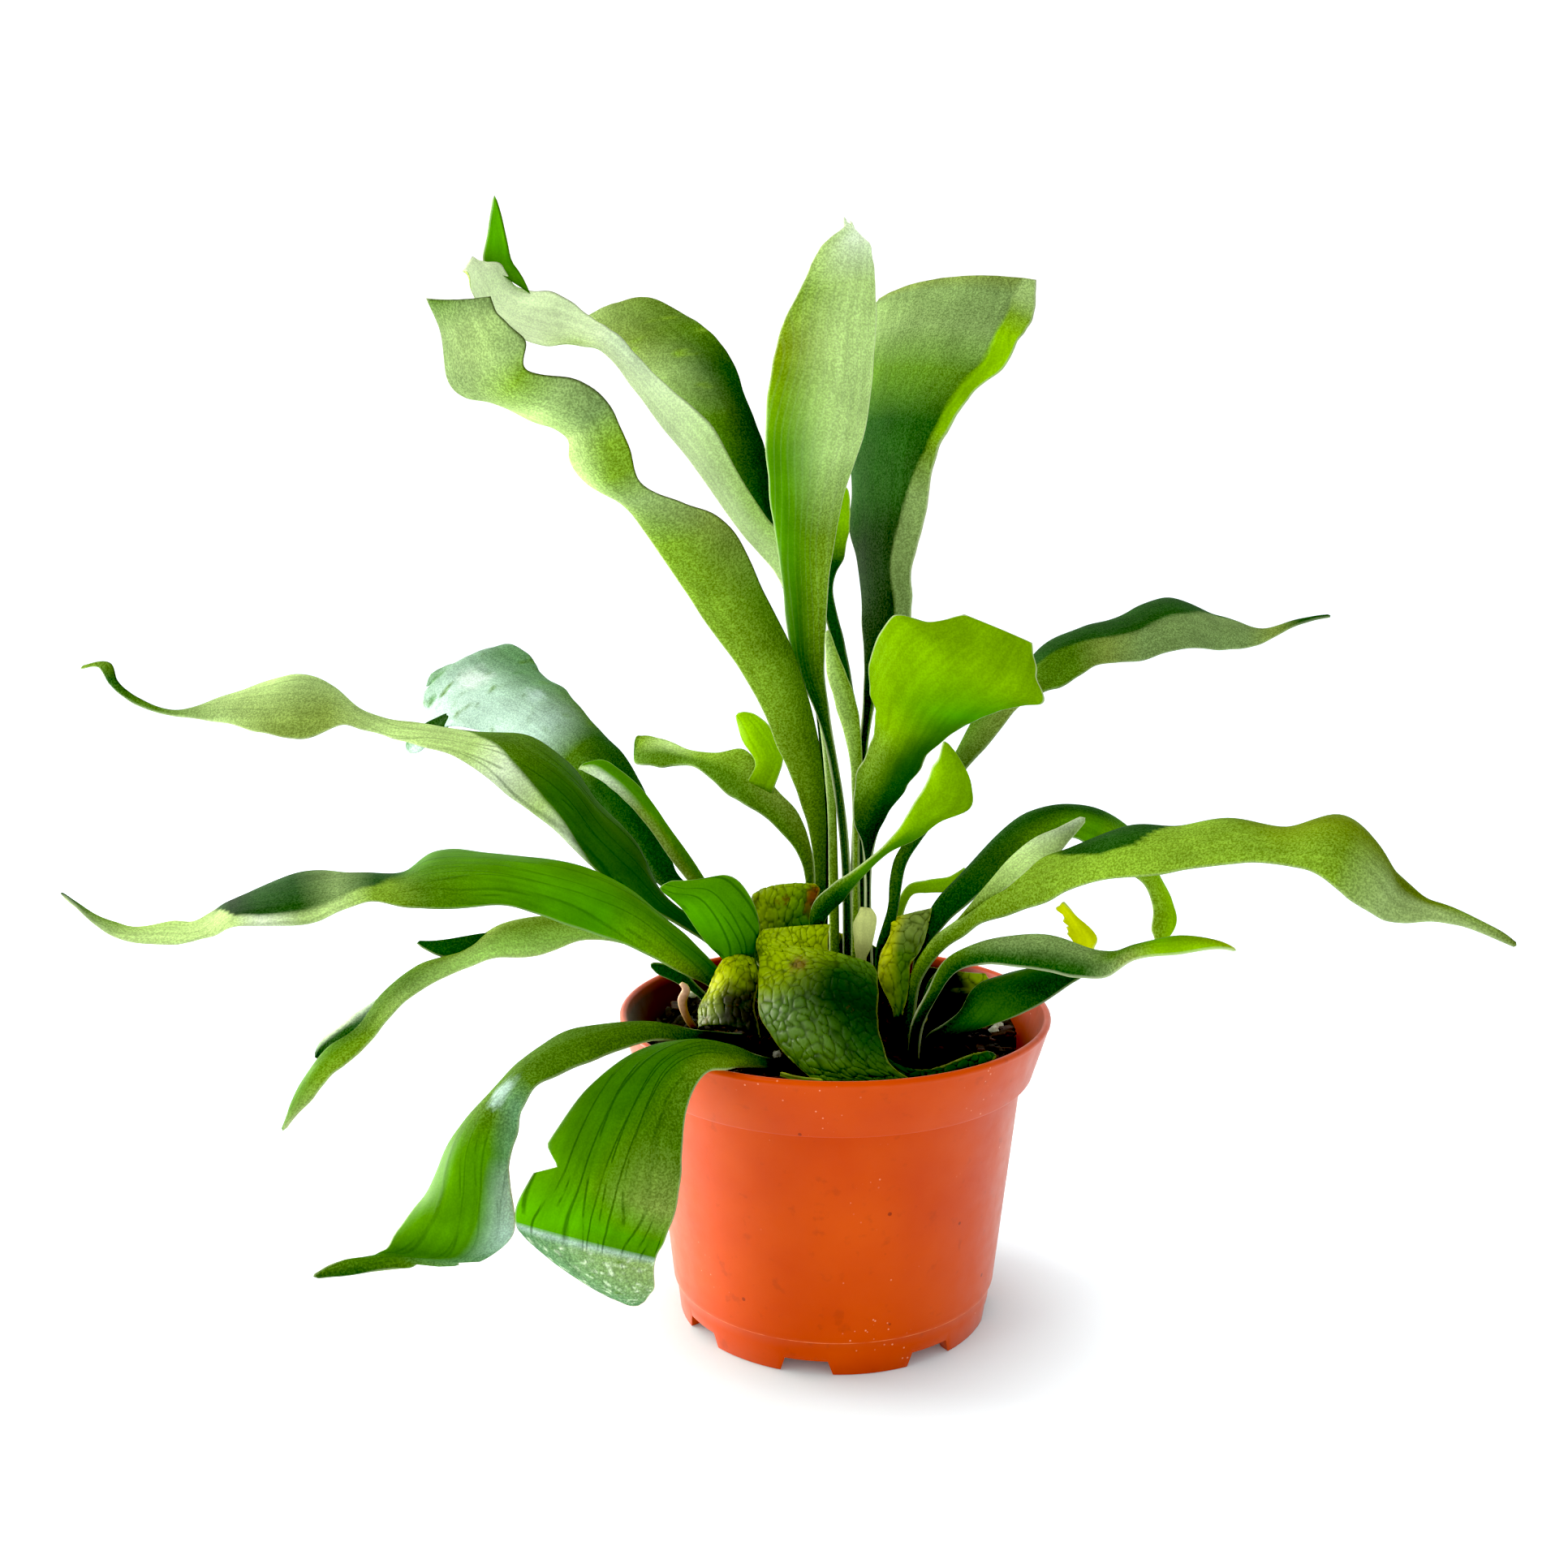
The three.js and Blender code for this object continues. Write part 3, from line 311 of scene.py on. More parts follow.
    roughness = add("MapRange", {
        "Value": felt, "From Min": 0.0, "From Max": 0.8, "To Min": gloss, "To Max": look["feltRoughness"]})
    height = add("Math", {0: hairShare, 1: veinShare}, operation="ADD")
    bump = add("Bump", {"Height": height, "Strength": 0.5, "Distance": look["relief"] * mm})
    add("BsdfPrincipled", {
        "Base Color": rimmed, "Roughness": roughness, "Normal": bump, "IOR": 1.28, "Specular IOR Level": 0.1})
    return material


shieldFinish = {
    "vein": "#0f2206",
    "veinCover": 0.6,
    "scab": "#5a3414",
    "scabSize": 9,
    "scabFrom": 0.66,  # of a noise from 0 to 1
    "scabFade": 0.08,
    "rim": "#b4b850",
    "rimWidth": 0.6,
    "rimCover": 0.35,
    "mossSize": 1.4,
    "relief": 0.3,
}


def shieldMaterial(name, toneLayer, scabShare):
    # Papery shield blade: thin, satin, with a raised net of dark veins and brown scabs where it dries.
    look = shieldFinish
    material, add = newMaterial(name)
    place = add("TexCoord").outputs["Object"]
    tone = add("Attribute", attribute_name=toneLayer)
    net, rim = (add("Attribute", attribute_name=layer).outputs["Fac"] for layer in ("vein", "rim"))
    grain = add("TexNoise", {"Vector": place, "Scale": 1 / (look["mossSize"] * mm), "Detail": 3.0})
    grainShade = add("MapRange", {
        "Value": grain, "From Min": 0.35, "From Max": 0.65, "To Min": 0.82, "To Max": 1.12})
    netShare = add("Math", {0: net, 1: look["veinCover"]}, operation="MULTIPLY")
    patches = add("TexNoise", {
        "Vector": place, "Scale": 1 / (look["scabSize"] * mm), "Detail": 5.0, "Roughness": 0.65})
    scabFrom = look["scabFrom"] - scabShare
    scab = add("MapRange", {"Value": patches, "From Min": scabFrom, "From Max": scabFrom + look["scabFade"]})
    rimShare = add("MapRange", {
        "Value": rim, "From Min": 0.0, "From Max": look["rimWidth"],
        "To Min": look["rimCover"], "To Max": 0.0})
    surface = add("VectorMath", {0: tone, 3: grainShade}, operation="SCALE")
    for share, layer in ((netShare, "vein"), (scab, "scab"), (rimShare, "rim")):
        surface = add("Mix", {0: share, 6: surface, 7: colour(look[layer])}, data_type="RGBA")
    bump = add("Bump", {"Height": grain, "Strength": 0.35, "Distance": look["relief"] * mm})
    add("BsdfPrincipled", {
        "Base Color": surface, "Roughness": 0.5, "Normal": bump, "IOR": 1.42, "Specular IOR Level": 0.25})
    return material


potFinish = {
    "shade": "#c44105",
    "light": "#d04e07",
    "cloudSize": 28,
    "nick": "#f0a884",
    "nickSize": 2.2,
    "wearSize": 17,  # of the patches that nicks stand in
    "knock": (-2, -58, 80),  # a knock on the band, with nicks around it
    "knockCore": 2,
    "knockReach": 12,
    # painted highlight along the step's edge
    "edge": "#f5925a",
    "edgeHighlightWidth": 0.2,
    "scuff": "#9c3405",
    "scuffSize": 4,
    "speck": "#7a2406",
    "speckSize": 13,
    # painted shade on the inner wall
    "wallShade": "#3a0e07",
    "rubSize": 5,
    "mouldedRoughness": 0.34,
    "rubbedRoughness": 0.5,
    "grainSize": 0.9,
    "relief": 0.1,
}


def potMaterial(stepHeight):
    # Injection-moulded polypropylene: an even orange with a satin skin, rubbed duller by handling,
    # with pale nicks, scuffs and a few dark specks, a painted highlight on the step's edge and painted inner
    # shade.
    look = potFinish
    material, add = newMaterial("mouldedPolypropylene")
    place = add("TexCoord").outputs["Object"]
    clouds, wear, scuffs, rub, grain = (
        add("TexNoise", {"Vector": place, "Scale": 1 / (look[size] * mm), "Detail": detail})
        for size, detail in (
            ("cloudSize", 5.0), ("wearSize", 3.0), ("scuffSize", 4.0), ("rubSize", 6.0), ("grainSize", 3.0)))
    nicks, specks = (
        add("TexVoronoi", {"Vector": place, "Scale": 1 / (look[size] * mm)})
        for size in ("nickSize", "speckSize"))

    nick = add("MapRange", {"Value": nicks, "From Min": 0.08, "From Max": 0.14, "To Min": 0.8, "To Max": 0.0})
    fromKnock = add("VectorMath", {0: place, 1: Vector(look["knock"]) * mm}, operation="DISTANCE")
    knocked = add("MapRange", {
        "Value": fromKnock, "From Min": look["knockCore"] * mm, "From Max": look["knockReach"] * mm,
        "To Min": 0.2, "To Max": 0.0})
    worn = add("MapRange", {
        "Value": add("Math", {0: wear, 1: knocked}, operation="ADD"), "From Min": 0.56, "From Max": 0.64})
    nickShare = add("Math", {0: nick, 1: worn}, operation="MULTIPLY")

    # Painted highlight: the step's edge is drawn pale along a thin broken line
    height = add("SeparateXYZ", {"Vector": place}).outputs["Z"]
    edge = add("Math", {0: height, 1: stepHeight * mm, 2: look["edgeHighlightWidth"] * mm}, operation="COMPARE")
    highlightStrength = add("MapRange", {
        "Value": scuffs, "From Min": 0.35, "From Max": 0.6, "To Min": 0.1, "To Max": 0.75})
    edgeHighlight = add("Math", {0: edge, 1: highlightStrength}, operation="MULTIPLY")
    scuffShare = add("MapRange", {
        "Value": scuffs, "From Min": 0.62, "From Max": 0.72, "To Min": 0.0, "To Max": 0.3})
    speck = add("MapRange", {
        "Value": specks, "From Min": 0.035, "From Max": 0.05, "To Min": 0.75, "To Max": 0.0})
    # painted shade on the inner wall
    wallShade = add("Attribute", attribute_name="wallShade").outputs["Fac"]
    cloud = add("MapRange", {"Value": clouds, "From Min": 0.3, "From Max": 0.7})
    surface = add("Mix", {0: cloud, 6: colour(look["shade"]), 7: colour(look["light"])}, data_type="RGBA")
    layers = {"nick": nickShare, "edge": edgeHighlight, "scuff": scuffShare, "speck": speck, "wallShade": wallShade}
    for layer, share in layers.items():
        surface = add("Mix", {0: share, 6: surface, 7: colour(look[layer])}, data_type="RGBA")
    roughness = add("MapRange", {
        "Value": rub, "From Min": 0.3, "From Max": 0.7,
        "To Min": look["mouldedRoughness"], "To Max": look["rubbedRoughness"]})
    bump = add("Bump", {"Height": grain, "Strength": 0.12, "Distance": look["relief"] * mm})
    add("BsdfPrincipled", {
        "Base Color": surface, "Roughness": roughness, "Normal": bump, "IOR": 1.45,
        "Specular IOR Level": 0.2, "Sheen Weight": 0.26, "Sheen Roughness": 0.4})
    return material


def grainyMaterial(name, dark, light, size, roughness=0.9, relief=0.4):
    # Rough natural matter, such as peat, bark, scales or perlite: matt, mottled at the size of its grains.
    material, add = newMaterial(name)
    place = add("TexCoord").outputs["Object"]
    grain = add("TexNoise", {
        "Vector": place, "Scale": 1 / (size * mm), "Detail": 5.0, "Roughness": 0.65})
    share = add("MapRange", {"Value": grain, "From Min": 0.35, "From Max": 0.68})
    mixed = add("Mix", {0: share, 6: colour(dark), 7: colour(light)}, data_type="RGBA")
    bump = add("Bump", {"Height": grain, "Strength": 0.6, "Distance": relief * mm})
    add("BsdfPrincipled", {"Base Color": mixed, "Roughness": roughness, "Normal": bump})
    return material


leafSides = [
    leafMaterial("frondUpperSide", "toneFront", 0.42), leafMaterial("frondUnderSide", "toneBack", 0.5)]
shieldSides = [
    shieldMaterial("shieldOuterSide", "toneFront", 0), shieldMaterial("shieldInnerSide", "toneBack", 0.04)]
peat = grainyMaterial("wetPeat", "#070605", "#2b2018", 2.2, 0.95, 0.8)
barkChip = grainyMaterial("barkChip", "#140b07", "#4a2c1c", 2.0)
perlite = grainyMaterial("perlite", "#b9b8a2", "#f1f0e4", 1.2, 0.8)
scaleHairs = grainyMaterial("rhizomeScales", "#160e08", "#5d3d20", 1.2)


# A tone is a colour of the living blade, and how thick the felt of hairs on it is.
# Some tones also stand in for light: glint is a painted highlight, and the darkest tones serve as painted
# shade as well.
tones = {
    "forest": ("#1e4b13", 0.55),
    "moss": ("#51771e", 0.65),
    "olive": ("#809644", 0.7),
    "teal": ("#679463", 0.6),
    "leaf": ("#518b08", 0.15),
    "vivid": ("#5caa05", 0.1),
    "lime": ("#89bc11", 0.25),
    "felt": ("#81a630", 0.75),
    "pale": ("#b7d681", 0.5),
    "frost": ("#e5f8ce", 0.4),
    "silver": ("#b1d0be", 0.45),
    "young": ("#c5cd7e", 0.15),
    "yellow": ("#d0d91e", 0.1),
    "mustard": ("#8ba30d", 0.1),
    "rust": ("#875118", 0.1),
    "amber": ("#705f1a", 0.1),
    "soot": ("#27250f", 0.1),
    "deep": ("#10300a", 0.5),
    "grass": ("#376708", 0.15),
    "char": ("#1e150a", 0.05),
    "khaki": ("#789215", 0.5),
    "bone": ("#d4a88c", 0.05),
    "sage": ("#9bb76c", 0.6),
    "dusk": ("#779254", 0.7),
    "mist": ("#e1f5bf", 0.3),
    "glint": ("#c9ddd0", 0.4),
}


# Every frond and shield, by its node. A row is a point on the left margin, a point on the right margin and
# how far the blade bulges between them, from the stalk to the tip: margins picked in the
# photograph and carried to millimetres with the fitted camera, at a depth judged for each blade.
# A lobe's root is where it grows from its frond, as the s and u of both ends.
# Front and back are the tones of the two sides, as fullStops reads them, and shade darkens both: it is
# painted shade along the blade, and the tones hold painted shade and painted highlights besides the blades'
# own colours.
fronds = {}
fronds["frond_upper_left_wavy"] = dict(
    slot="frond_pale", base=(-4, -2, 90),
    shade=[(0, 0.5), (0.25, 0.85), (0.45, 1), (0.78, 1), (0.88, 0.86), (1, 0.84)],
    back=[(0, "felt", "felt"), (1, "pale", "pale")], rims=(0.3, -1), veins=0.05,
    rows=[
        (-6, -3, 130.5, -2.5, -3, 131, 0.5), (-9.5, -6.5, 146, -3, -5.5, 147.5, 1.5),
        (-15.5, -10.5, 162, -5, -8, 165, 2), (-23, -17.5, 180, -10.5, -15.5, 187, 3),
        (-34, -24.5, 197, -19, -23.5, 205, 3), (-43, -35, 213, -26, -34, 220, 3),
        (-50, -43, 224, -37.5, -43, 227, 2), (-57.5, -46.5, 230, -47, -49.5, 232, 2),
        (-63, -49.5, 236, -48, -56, 239, 2), (-64, -51, 242, -51, -59, 248, 2.5),
        (-71, -52.5, 246, -60.5, -63.5, 254, 3), (-81, -52.5, 249, -69, -68, 257, 3),
        (-88.5, -52.5, 253, -69, -71.5, 261, 3), (-92, -54, 263, -73, -71.5, 267, 2),
        (-93, -59, 272.5, -76.5, -71.5, 271, 1)],
    # the pale stops at the bends are painted highlights
    front=[
        (0, "forest", "moss"), (0.2, "felt", "moss"), (0.33, "felt", "moss", 0.65, 0.7),
        (0.42, "felt", "olive", 0.6, 0.7), (0.5, "sage", "sage", 0.35, 0.6),
        (0.56, "pale", "felt", 0.35, 0.6), (0.62, "sage", "felt", 0.5, 0.6), (0.68, "sage", "dusk", 0.5, 0.8),
        (0.74, "pale", "sage", 0.5, 0.8), (0.8, "sage", "felt", 0.5, 0.8), (0.87, "dusk", "sage", 0.4, 0.6),
        (0.94, "dusk", "sage", 0.4, 0.8), (1, "moss", "dusk", 0.5, 0.8)])
fronds["frond_upper_left_pale"] = dict(
    slot="frond_pale", base=(0, 6, 91), shade=[(0, 0.7), (0.2, 0.95), (1, 1)],
    back=[(0, "pale", "pale"), (1, "felt", "felt")], rims=(0.5, -0.7), veins=0.05,
    rows=[
        (-2.5, 6.5, 144.5, 0, 6.5, 144.5, 0), (-5.5, 8.5, 170.5, -2.5, 8.5, 170.5, 0),
        (-10, 10.5, 188.5, -5, 10.5, 189.5, 1), (-16.5, 11, 206, -7, 11.5, 209, -1),
        (-26.5, 9, 218, -19, 12, 222, -2), (-42, 4.5, 240, -35, 9.5, 247, -2),
        (-53, 0, 254, -47.5, 6, 259, -1), (-61.5, -3, 265, -58, 3, 269, -1),
        (-70, -6, 266, -65.5, 3, 275, -2), (-79, -12.5, 267, -76, 3, 280, -3),
        (-87, -18.5, 272, -84.5, 0, 283, -3), (-91.5, -20, 279.5, -89, -4.5, 287.5, -2),
        (-94, -18.5, 283, -93.5, -8, 288, -0.5)],
    front=[
        (0, "felt", "felt"), (0.25, "pale", "sage"), (0.4, "mist", "pale", 0.6, 0.6), (0.5, "mist", "mist"),
        (0.6, "mist", "frost"), (0.68, "pale", "mist", 0.4, 0.7), (0.76, "mist", "mist"),
        (0.85, "mist", "mist"), (0.92, "mist", "mist"), (1, "mist", "mist")],
    lobes=[
        dict(
            root=(0.95, 0.93, 0.8, 0.93),
            front=[(0, "leaf", "leaf"), (0.4, "vivid", "vivid"), (1, "vivid", "vivid")],
            rows=[
                (-92.5, 1.5, 291.5, -84.5, 1.5, 286.5, -1.5), (-91.5, 1.5, 295.5, -86, 1.5, 292.5, -1),
                (-90.5, 1.5, 300, -87.5, 1.5, 299, -0.5), (-89.5, 1.5, 304.5, -89, 1.5, 304.5, 0)])])
fronds["frond_upper_left_dark"] = dict(
    slot="frond_dark", base=(-4, 13, 88), mottle=[("felt", 8, -0.5, 0.6, 1)], rims=(-0.3, -0.3), veins=0.1,
    rows=[
        (-4, 13.5, 143.5, -1.5, 13.5, 143.5, 0), (-6, 18, 169, -3, 18, 169.5, 0),
        (-10.5, 23.5, 187, -6, 23.5, 188, 1), (-17.5, 31, 206, -11, 31, 210, 1),
        (-26, 38.5, 221, -18.5, 38.5, 222.5, 2), (-39, 46.5, 239.5, -21, 46.5, 240.5, 3),
        (-49.5, 52.5, 253.5, -26.5, 52.5, 254.5, 3), (-60.5, 59, 264, -32, 59, 268, 3),
        (-70, 65, 272, -42, 63.5, 278.5, 2.5), (-76.5, 70, 277.5, -55.5, 68, 285.5, 1.5),
        (-76, 71.5, 281, -66, 71.5, 285, 0.5)],
    front=[
        (0, "deep", "deep"), (0.3, "deep", "deep"), (0.48, "forest", "deep", 0.6, 0.8),
        (0.6, "moss", "deep", 0.6, 0.8), (0.7, "sage", "forest", 0.5, 0.8), (0.8, "olive", "moss"),
        (1, "sage", "olive")])
fronds["frond_tall_centre"] = dict(
    slot="frond_pale", base=(4, 0, 91), shade=[(0, 0.5), (0.25, 0.75), (0.45, 0.9), (0.6, 1)],
    back=[(0, "felt", "felt"), (1, "frost", "frost")], rims=(0.4, 0.9), veins=-0.035,
    spikes=[(0.2, 3, 0.16), (0.5, 1.5, 0.12), (0.88, 2.2, 0.14)], columns=50,
    rows=[
        (1, -1, 136, 3.5, -1, 136.5, 0), (-4, -1, 165, -1, -1, 165.5, 0),
        (-10, -2.5, 180.5, -3, -2.5, 181.5, 1), (-13, -4, 190.5, -3, -4, 192, 2),
        (-15, -7, 209, -1.5, -5.5, 210, 3), (-17.5, -10.5, 226, 2, -7.5, 227.5, 4),
        (-18.5, -14, 242.5, 6.5, -9.5, 243.5, 5), (-17.5, -15.5, 257, 9, -9.5, 258.5, 5),
        (-14.5, -14, 269, 9.5, -8, 272, 4), (-10, -12.5, 279, 9.5, -6, 283, 3),
        (-5, -9.5, 289, 8, -4.5, 290.5, 2), (0, -8, 294, 5.5, -4.5, 293, 1),
        (1.5, -6, 295, 3.5, -6, 294.5, 0)],
    front=[
        (0, "forest", "moss"), (0.2, "forest", "moss", 0.6, 0.5), (0.32, "grass", "felt", 0.6, 0.6),
        (0.42, "leaf", "felt", 0.5, 0.6), (0.52, "leaf", "pale", 0.45, 0.7),
        (0.66, "khaki", "pale", 0.35, 0.6), (0.76, "felt", "pale", 0.3, 0.8),
        (0.88, "pale", "frost", 0.3, 0.6), (1, "frost", "frost")])
fronds["frond_tall_right"] = dict(
    slot="frond_dark", base=(5, 13, 88), shade=[(0, 0.6), (0.45, 0.72), (0.62, 1), (1, 1)], columns=56,
    rowSpacing=1.1, back=[(0, "felt", "felt"), (1, "lime", "lime")], crease=(0.25, 1.01, 2.2),
    rims=(0.5, 0.8), veins=0.15,
    rows=[
        (5, 13.5, 143.5, 8, 13.5, 143.5, 0), (7.5, 19.5, 171.5, 11.5, 19.5, 171.5, 0),
        (7.5, 26.5, 191, 20.5, 19, 194, 2), (5.5, 34, 209.5, 21.5, 17, 210, 3),
        (3.5, 42, 225.5, 25.5, 18.5, 227.5, 3), (4, 49.5, 243, 29.5, 20, 244.5, 4),
        (7, 54, 258, 36.5, 21.5, 253.5, 4), (9, 59, 271, 47, 21.5, 265.5, 5),
        (10.5, 63.5, 281, 53, 28, 274.5, 6), (11.5, 66.5, 285.5, 55, 34, 286.5, 6)],
    front=[
        (0, "deep", "moss", 0.8, 0.1), (0.2, "deep", "moss", 0.65, 0.08), (0.3, "deep", "sage", 0.78, 0.03),
        (0.42, "deep", "sage", 0.8, 0.03), (0.5, "forest", "sage", 0.84, 0.03),
        (0.57, "forest", "felt", 0.95, 0.02), (0.62, "forest", "lime", 0.95, 0.02),
        (0.74, "moss", "lime", 0.92, 0.02), (0.83, "dusk", "lime", 0.9, 0.02),
        (0.9, "dusk", "felt", 0.9, 0.02), (0.95, "dusk", "sage", 0.9, 0.02),
        (1, "olive", "sage", 0.94, 0.02)])
fronds["frond_narrow_behind"] = dict(
    slot="frond_dark", base=(8, 6, 90), veins=0,
    rows=[
        (5, 6.5, 150.5, 7, 6.5, 150.5, 0), (2, 6, 173, 5, 6, 173.5, 0), (-1, 5, 186.5, 2.5, 5, 187.5, 0),
        (-5, 4, 202.5, -1, 4, 204, 0.5), (-7, 3, 211.5, 2, 3, 212, 1), (-5.5, 1.5, 221.5, 3.5, 1.5, 221.5, 1),
        (-3, 1.5, 228, 3, 1.5, 229, 0.5), (-0.5, 1.5, 231, 1.5, 1.5, 231, 0)],
    front=[(0, "forest", "forest"), (0.6, "forest", "forest"), (0.75, "lime", "lime"), (1, "lime", "lime")])
fronds["frond_narrow_pale"] = dict(
    slot="frond_pale", base=(6, -7, 90), front=[(0, "felt", "felt"), (1, "pale", "felt")], veins=0,
    back=[(0, "moss", "moss")],
    rows=[
        (4.5, -5, 141.5, 6.5, -5, 141.5, 0), (3.5, -7, 159.5, 7, -7, 160, 1),
        (0, -8.5, 172.5, 5.5, -8.5, 173.5, 1.5), (-2.5, -10, 181.5, 2.5, -10, 182, 1),
        (-3, -10.5, 188, 0, -10.5, 188, 0.5), (-3, -10.5, 193, -2, -10.5, 193.5, 0)])
fronds["frond_broad_bright"] = dict(
    slot="frond_green", base=(9, -4, 89), shade=[(0, 0.45), (0.3, 0.85), (0.5, 0.7), (0.7, 0.72), (1, 0.62)],
    columns=44, rowSpacing=1, back=[(0, "moss", "moss")], rims=(0.9, 0.9), wander=3, ruffle=2.2, veins=0,
    rows=[
        (7.5, -9, 132.5, 10.5, -9, 133, 0), (4.5, -12.5, 144, 13.5, -12.5, 143.5, 2),
        (5, -15.5, 154, 19, -17.5, 152.5, 3), (9, -20, 166, 23.5, -23.5, 161, 4),
        (10, -23, 173, 29, -29, 168, 4), (7.5, -25, 180.5, 36.5, -34, 173.5, 5),
        (9, -28.5, 189.5, 44, -38.5, 177, 6), (14, -32, 199, 50.5, -42, 178, 6),
        (22.5, -34, 197.5, 49, -42, 185, 4), (31, -35.5, 199.5, 47.5, -40, 193, 2)],
    front=[
        (0, "deep", "deep"), (0.15, "forest", "deep"), (0.27, "moss", "forest", 0.4, 0.6),
        (0.38, "felt", "grass", 0.4, 0.6), (0.5, "lime", "leaf", 0.6, 0.6), (0.62, "lime", "vivid", 0.5, 0.8),
        (0.8, "lime", "lime"), (1, "lime", "lime")])
fronds["frond_twisted_ribbon"] = dict(
    slot="frond_green", base=(0, -12, 89), shade=[(0, 0.55), (0.3, 0.75), (1, 0.72)],
    back=[(0, "lime", "felt")], rims=(0.8, 0.3), veins=0,
    rows=[
        (-6.5, -16, 119, -3, -16, 115, 1), (-1, -20, 127, 2.5, -20, 123, 1.5),
        (4, -23, 131, 6.5, -23, 129, 1), (12, -26.5, 138.5, 13.5, -26.5, 137, 0.5),
        (16.5, -30, 145, 20, -29.5, 141, 1), (19, -33, 151, 26.5, -31.5, 146, 2),
        (22.5, -35, 157, 34, -32.5, 150, 3), (24.5, -37.5, 162, 34, -35, 157, 2),
        (26, -38, 166.5, 30.5, -37, 164, 1), (26.5, -38.5, 168.5, 27.5, -38.5, 168, 0)],
    front=[
        (0, "forest", "forest"), (0.2, "moss", "forest", 0.3, 0.3), (0.35, "felt", "leaf", 0.25, 0.2),
        (0.5, "lime", "leaf", 0.4, 0.5), (0.65, "lime", "lime"), (1, "lime", "lime")])
fronds["frond_right_upper"] = dict(
    slot="frond_dark", base=(15, -9, 88), columns=40, rowSpacing=1.2, crease=(0.49, 0.8, 1.2),
    rims=(-0.5, 0.3), veins=0.1,
    rows=[
        (11, -11, 105.5, 15, -11, 105, 0.5), (14, -10, 117.5, 17, -10, 117.5, 0.5),
        (16, -8, 131, 19.5, -8, 130, 0.5), (23.5, -3, 142, 27, -4.5, 141, 0.5),
        (30, 2.5, 154.5, 35, -2.5, 154, 1), (39, 12.5, 167, 43.5, 2.5, 164, 1),
        (50, 26, 176, 53, 10.5, 171, 2), (61, 41, 184, 64, 20, 176, 3), (74, 54.5, 189, 74, 28, 179, 3),
        (88.5, 67, 191, 87, 39, 181, 3), (104.5, 80.5, 196, 102, 48, 182, 4),
        (120.5, 83.5, 189, 119.5, 65, 181, 3), (135.5, 87, 185, 135.5, 77.5, 182, 1.5),
        (148, 88.5, 188, 148, 85, 187.5, 0.5), (157.5, 90, 190, 158.5, 90, 189, 0)],
    front=[
        (0, "forest", "forest"), (0.3, "moss", "forest", 0.5, 0.8), (0.46, "moss", "olive"),
        (0.5, "forest", "moss", 0.45, 0.08), (0.56, "forest", "moss", 0.6, 0.06),
        (0.62, "forest", "olive", 0.66, 0.06), (0.68, "forest", "dusk", 0.68, 0.06),
        (0.74, "forest", "dusk", 0.6, 0.06), (0.79, "forest", "dusk", 0.25, 0.06),
        (0.83, "moss", "dusk", 0.1, 0.1), (0.88, "olive", "olive"), (0.93, "forest", "forest"),
        (1, "forest", "forest")])
fronds["frond_right_forked"] = dict(
    slot="frond_pale", base=(15, -17, 77),
    shade=[(0, 0.5), (0.25, 0.85), (0.45, 1), (0.68, 0.8), (0.8, 0.55), (1, 0.65)], columns=40,
    rowSpacing=1.2, crease=(0.38, 0.5, 0.9), rims=(-0.6, 0.3), veins=0.1,
    rows=[
        (18.5, -18, 88, 21, -18, 87, 0), (20.5, -18, 102, 23.5, -20, 101.5, 0),
        (26, -18, 111.5, 29.5, -21, 110, 0.5), (33.5, -18, 118, 36, -23, 115, 1),
        (41.5, -18, 126, 43.5, -28, 121, 2), (51, -19, 133, 52, -34, 126, 3),
        (61, -21, 138, 61, -39.5, 131, 3), (74.5, -25, 144, 73, -46.5, 136, 3),
        (87, -31.5, 145, 84, -50.5, 139, 3), (98.5, -36, 149, 95.5, -55.5, 141, 3),
        (111, -43.5, 148, 106.5, -61, 142, 3), (122.5, -45.5, 151, 113.5, -67, 141, 4),
        (130, -49.5, 147, 119, -69.5, 136, 4), (134, -56, 140, 126, -69.5, 131, 3),
        (139, -62, 135, 135, -70, 132, 1), (145.5, -66.5, 133, 144, -70, 130.5, 0.5),
        (152.5, -70, 130, 151.5, -71.5, 128, 0.5), (157, -71.5, 127, 156.5, -71.5, 126, 0)],
    front=[
        (0, "forest", "moss"), (0.15, "felt", "moss", 0.4, 0.6), (0.28, "pale", "felt", 0.25, 0.6),
        (0.355, "felt", "felt", 0.1, 0.04), (0.385, "forest", "felt", 0.4, 0.04),
        (0.42, "forest", "felt", 0.66, 0.04), (0.455, "forest", "felt", 0.62, 0.04),
        (0.49, "forest", "felt", 0.15, 0.04), (0.52, "moss", "felt", 0.05, 0.1),
        (0.6, "khaki", "felt", 0.6, 0.8), (0.68, "khaki", "felt", 0.5, 0.6),
        (0.76, "khaki", "pale", 0.45, 0.3), (0.84, "khaki", "pale", 0.45, 0.3), (0.9, "felt", "pale"),
        (1, "olive", "olive")],
    lobes=[
        dict(
            root=(0.2, 0.15, 0.28, 0.45),
            front=[(0, "felt", "felt"), (0.4, "pale", "pale"), (1, "frost", "pale")], rims=(0.5, 0.5),
            rows=[
                (39.5, -19.5, 127, 45.5, -26, 127.5, 1.5), (45.5, -18, 133.5, 51.5, -26, 133, 1.5),
                (52.5, -16.5, 139, 58, -22, 136.5, 1), (59, -17, 142.5, 62.5, -18, 140, 0.5),
                (65, -17, 145.5, 66, -17, 144, 0)])])
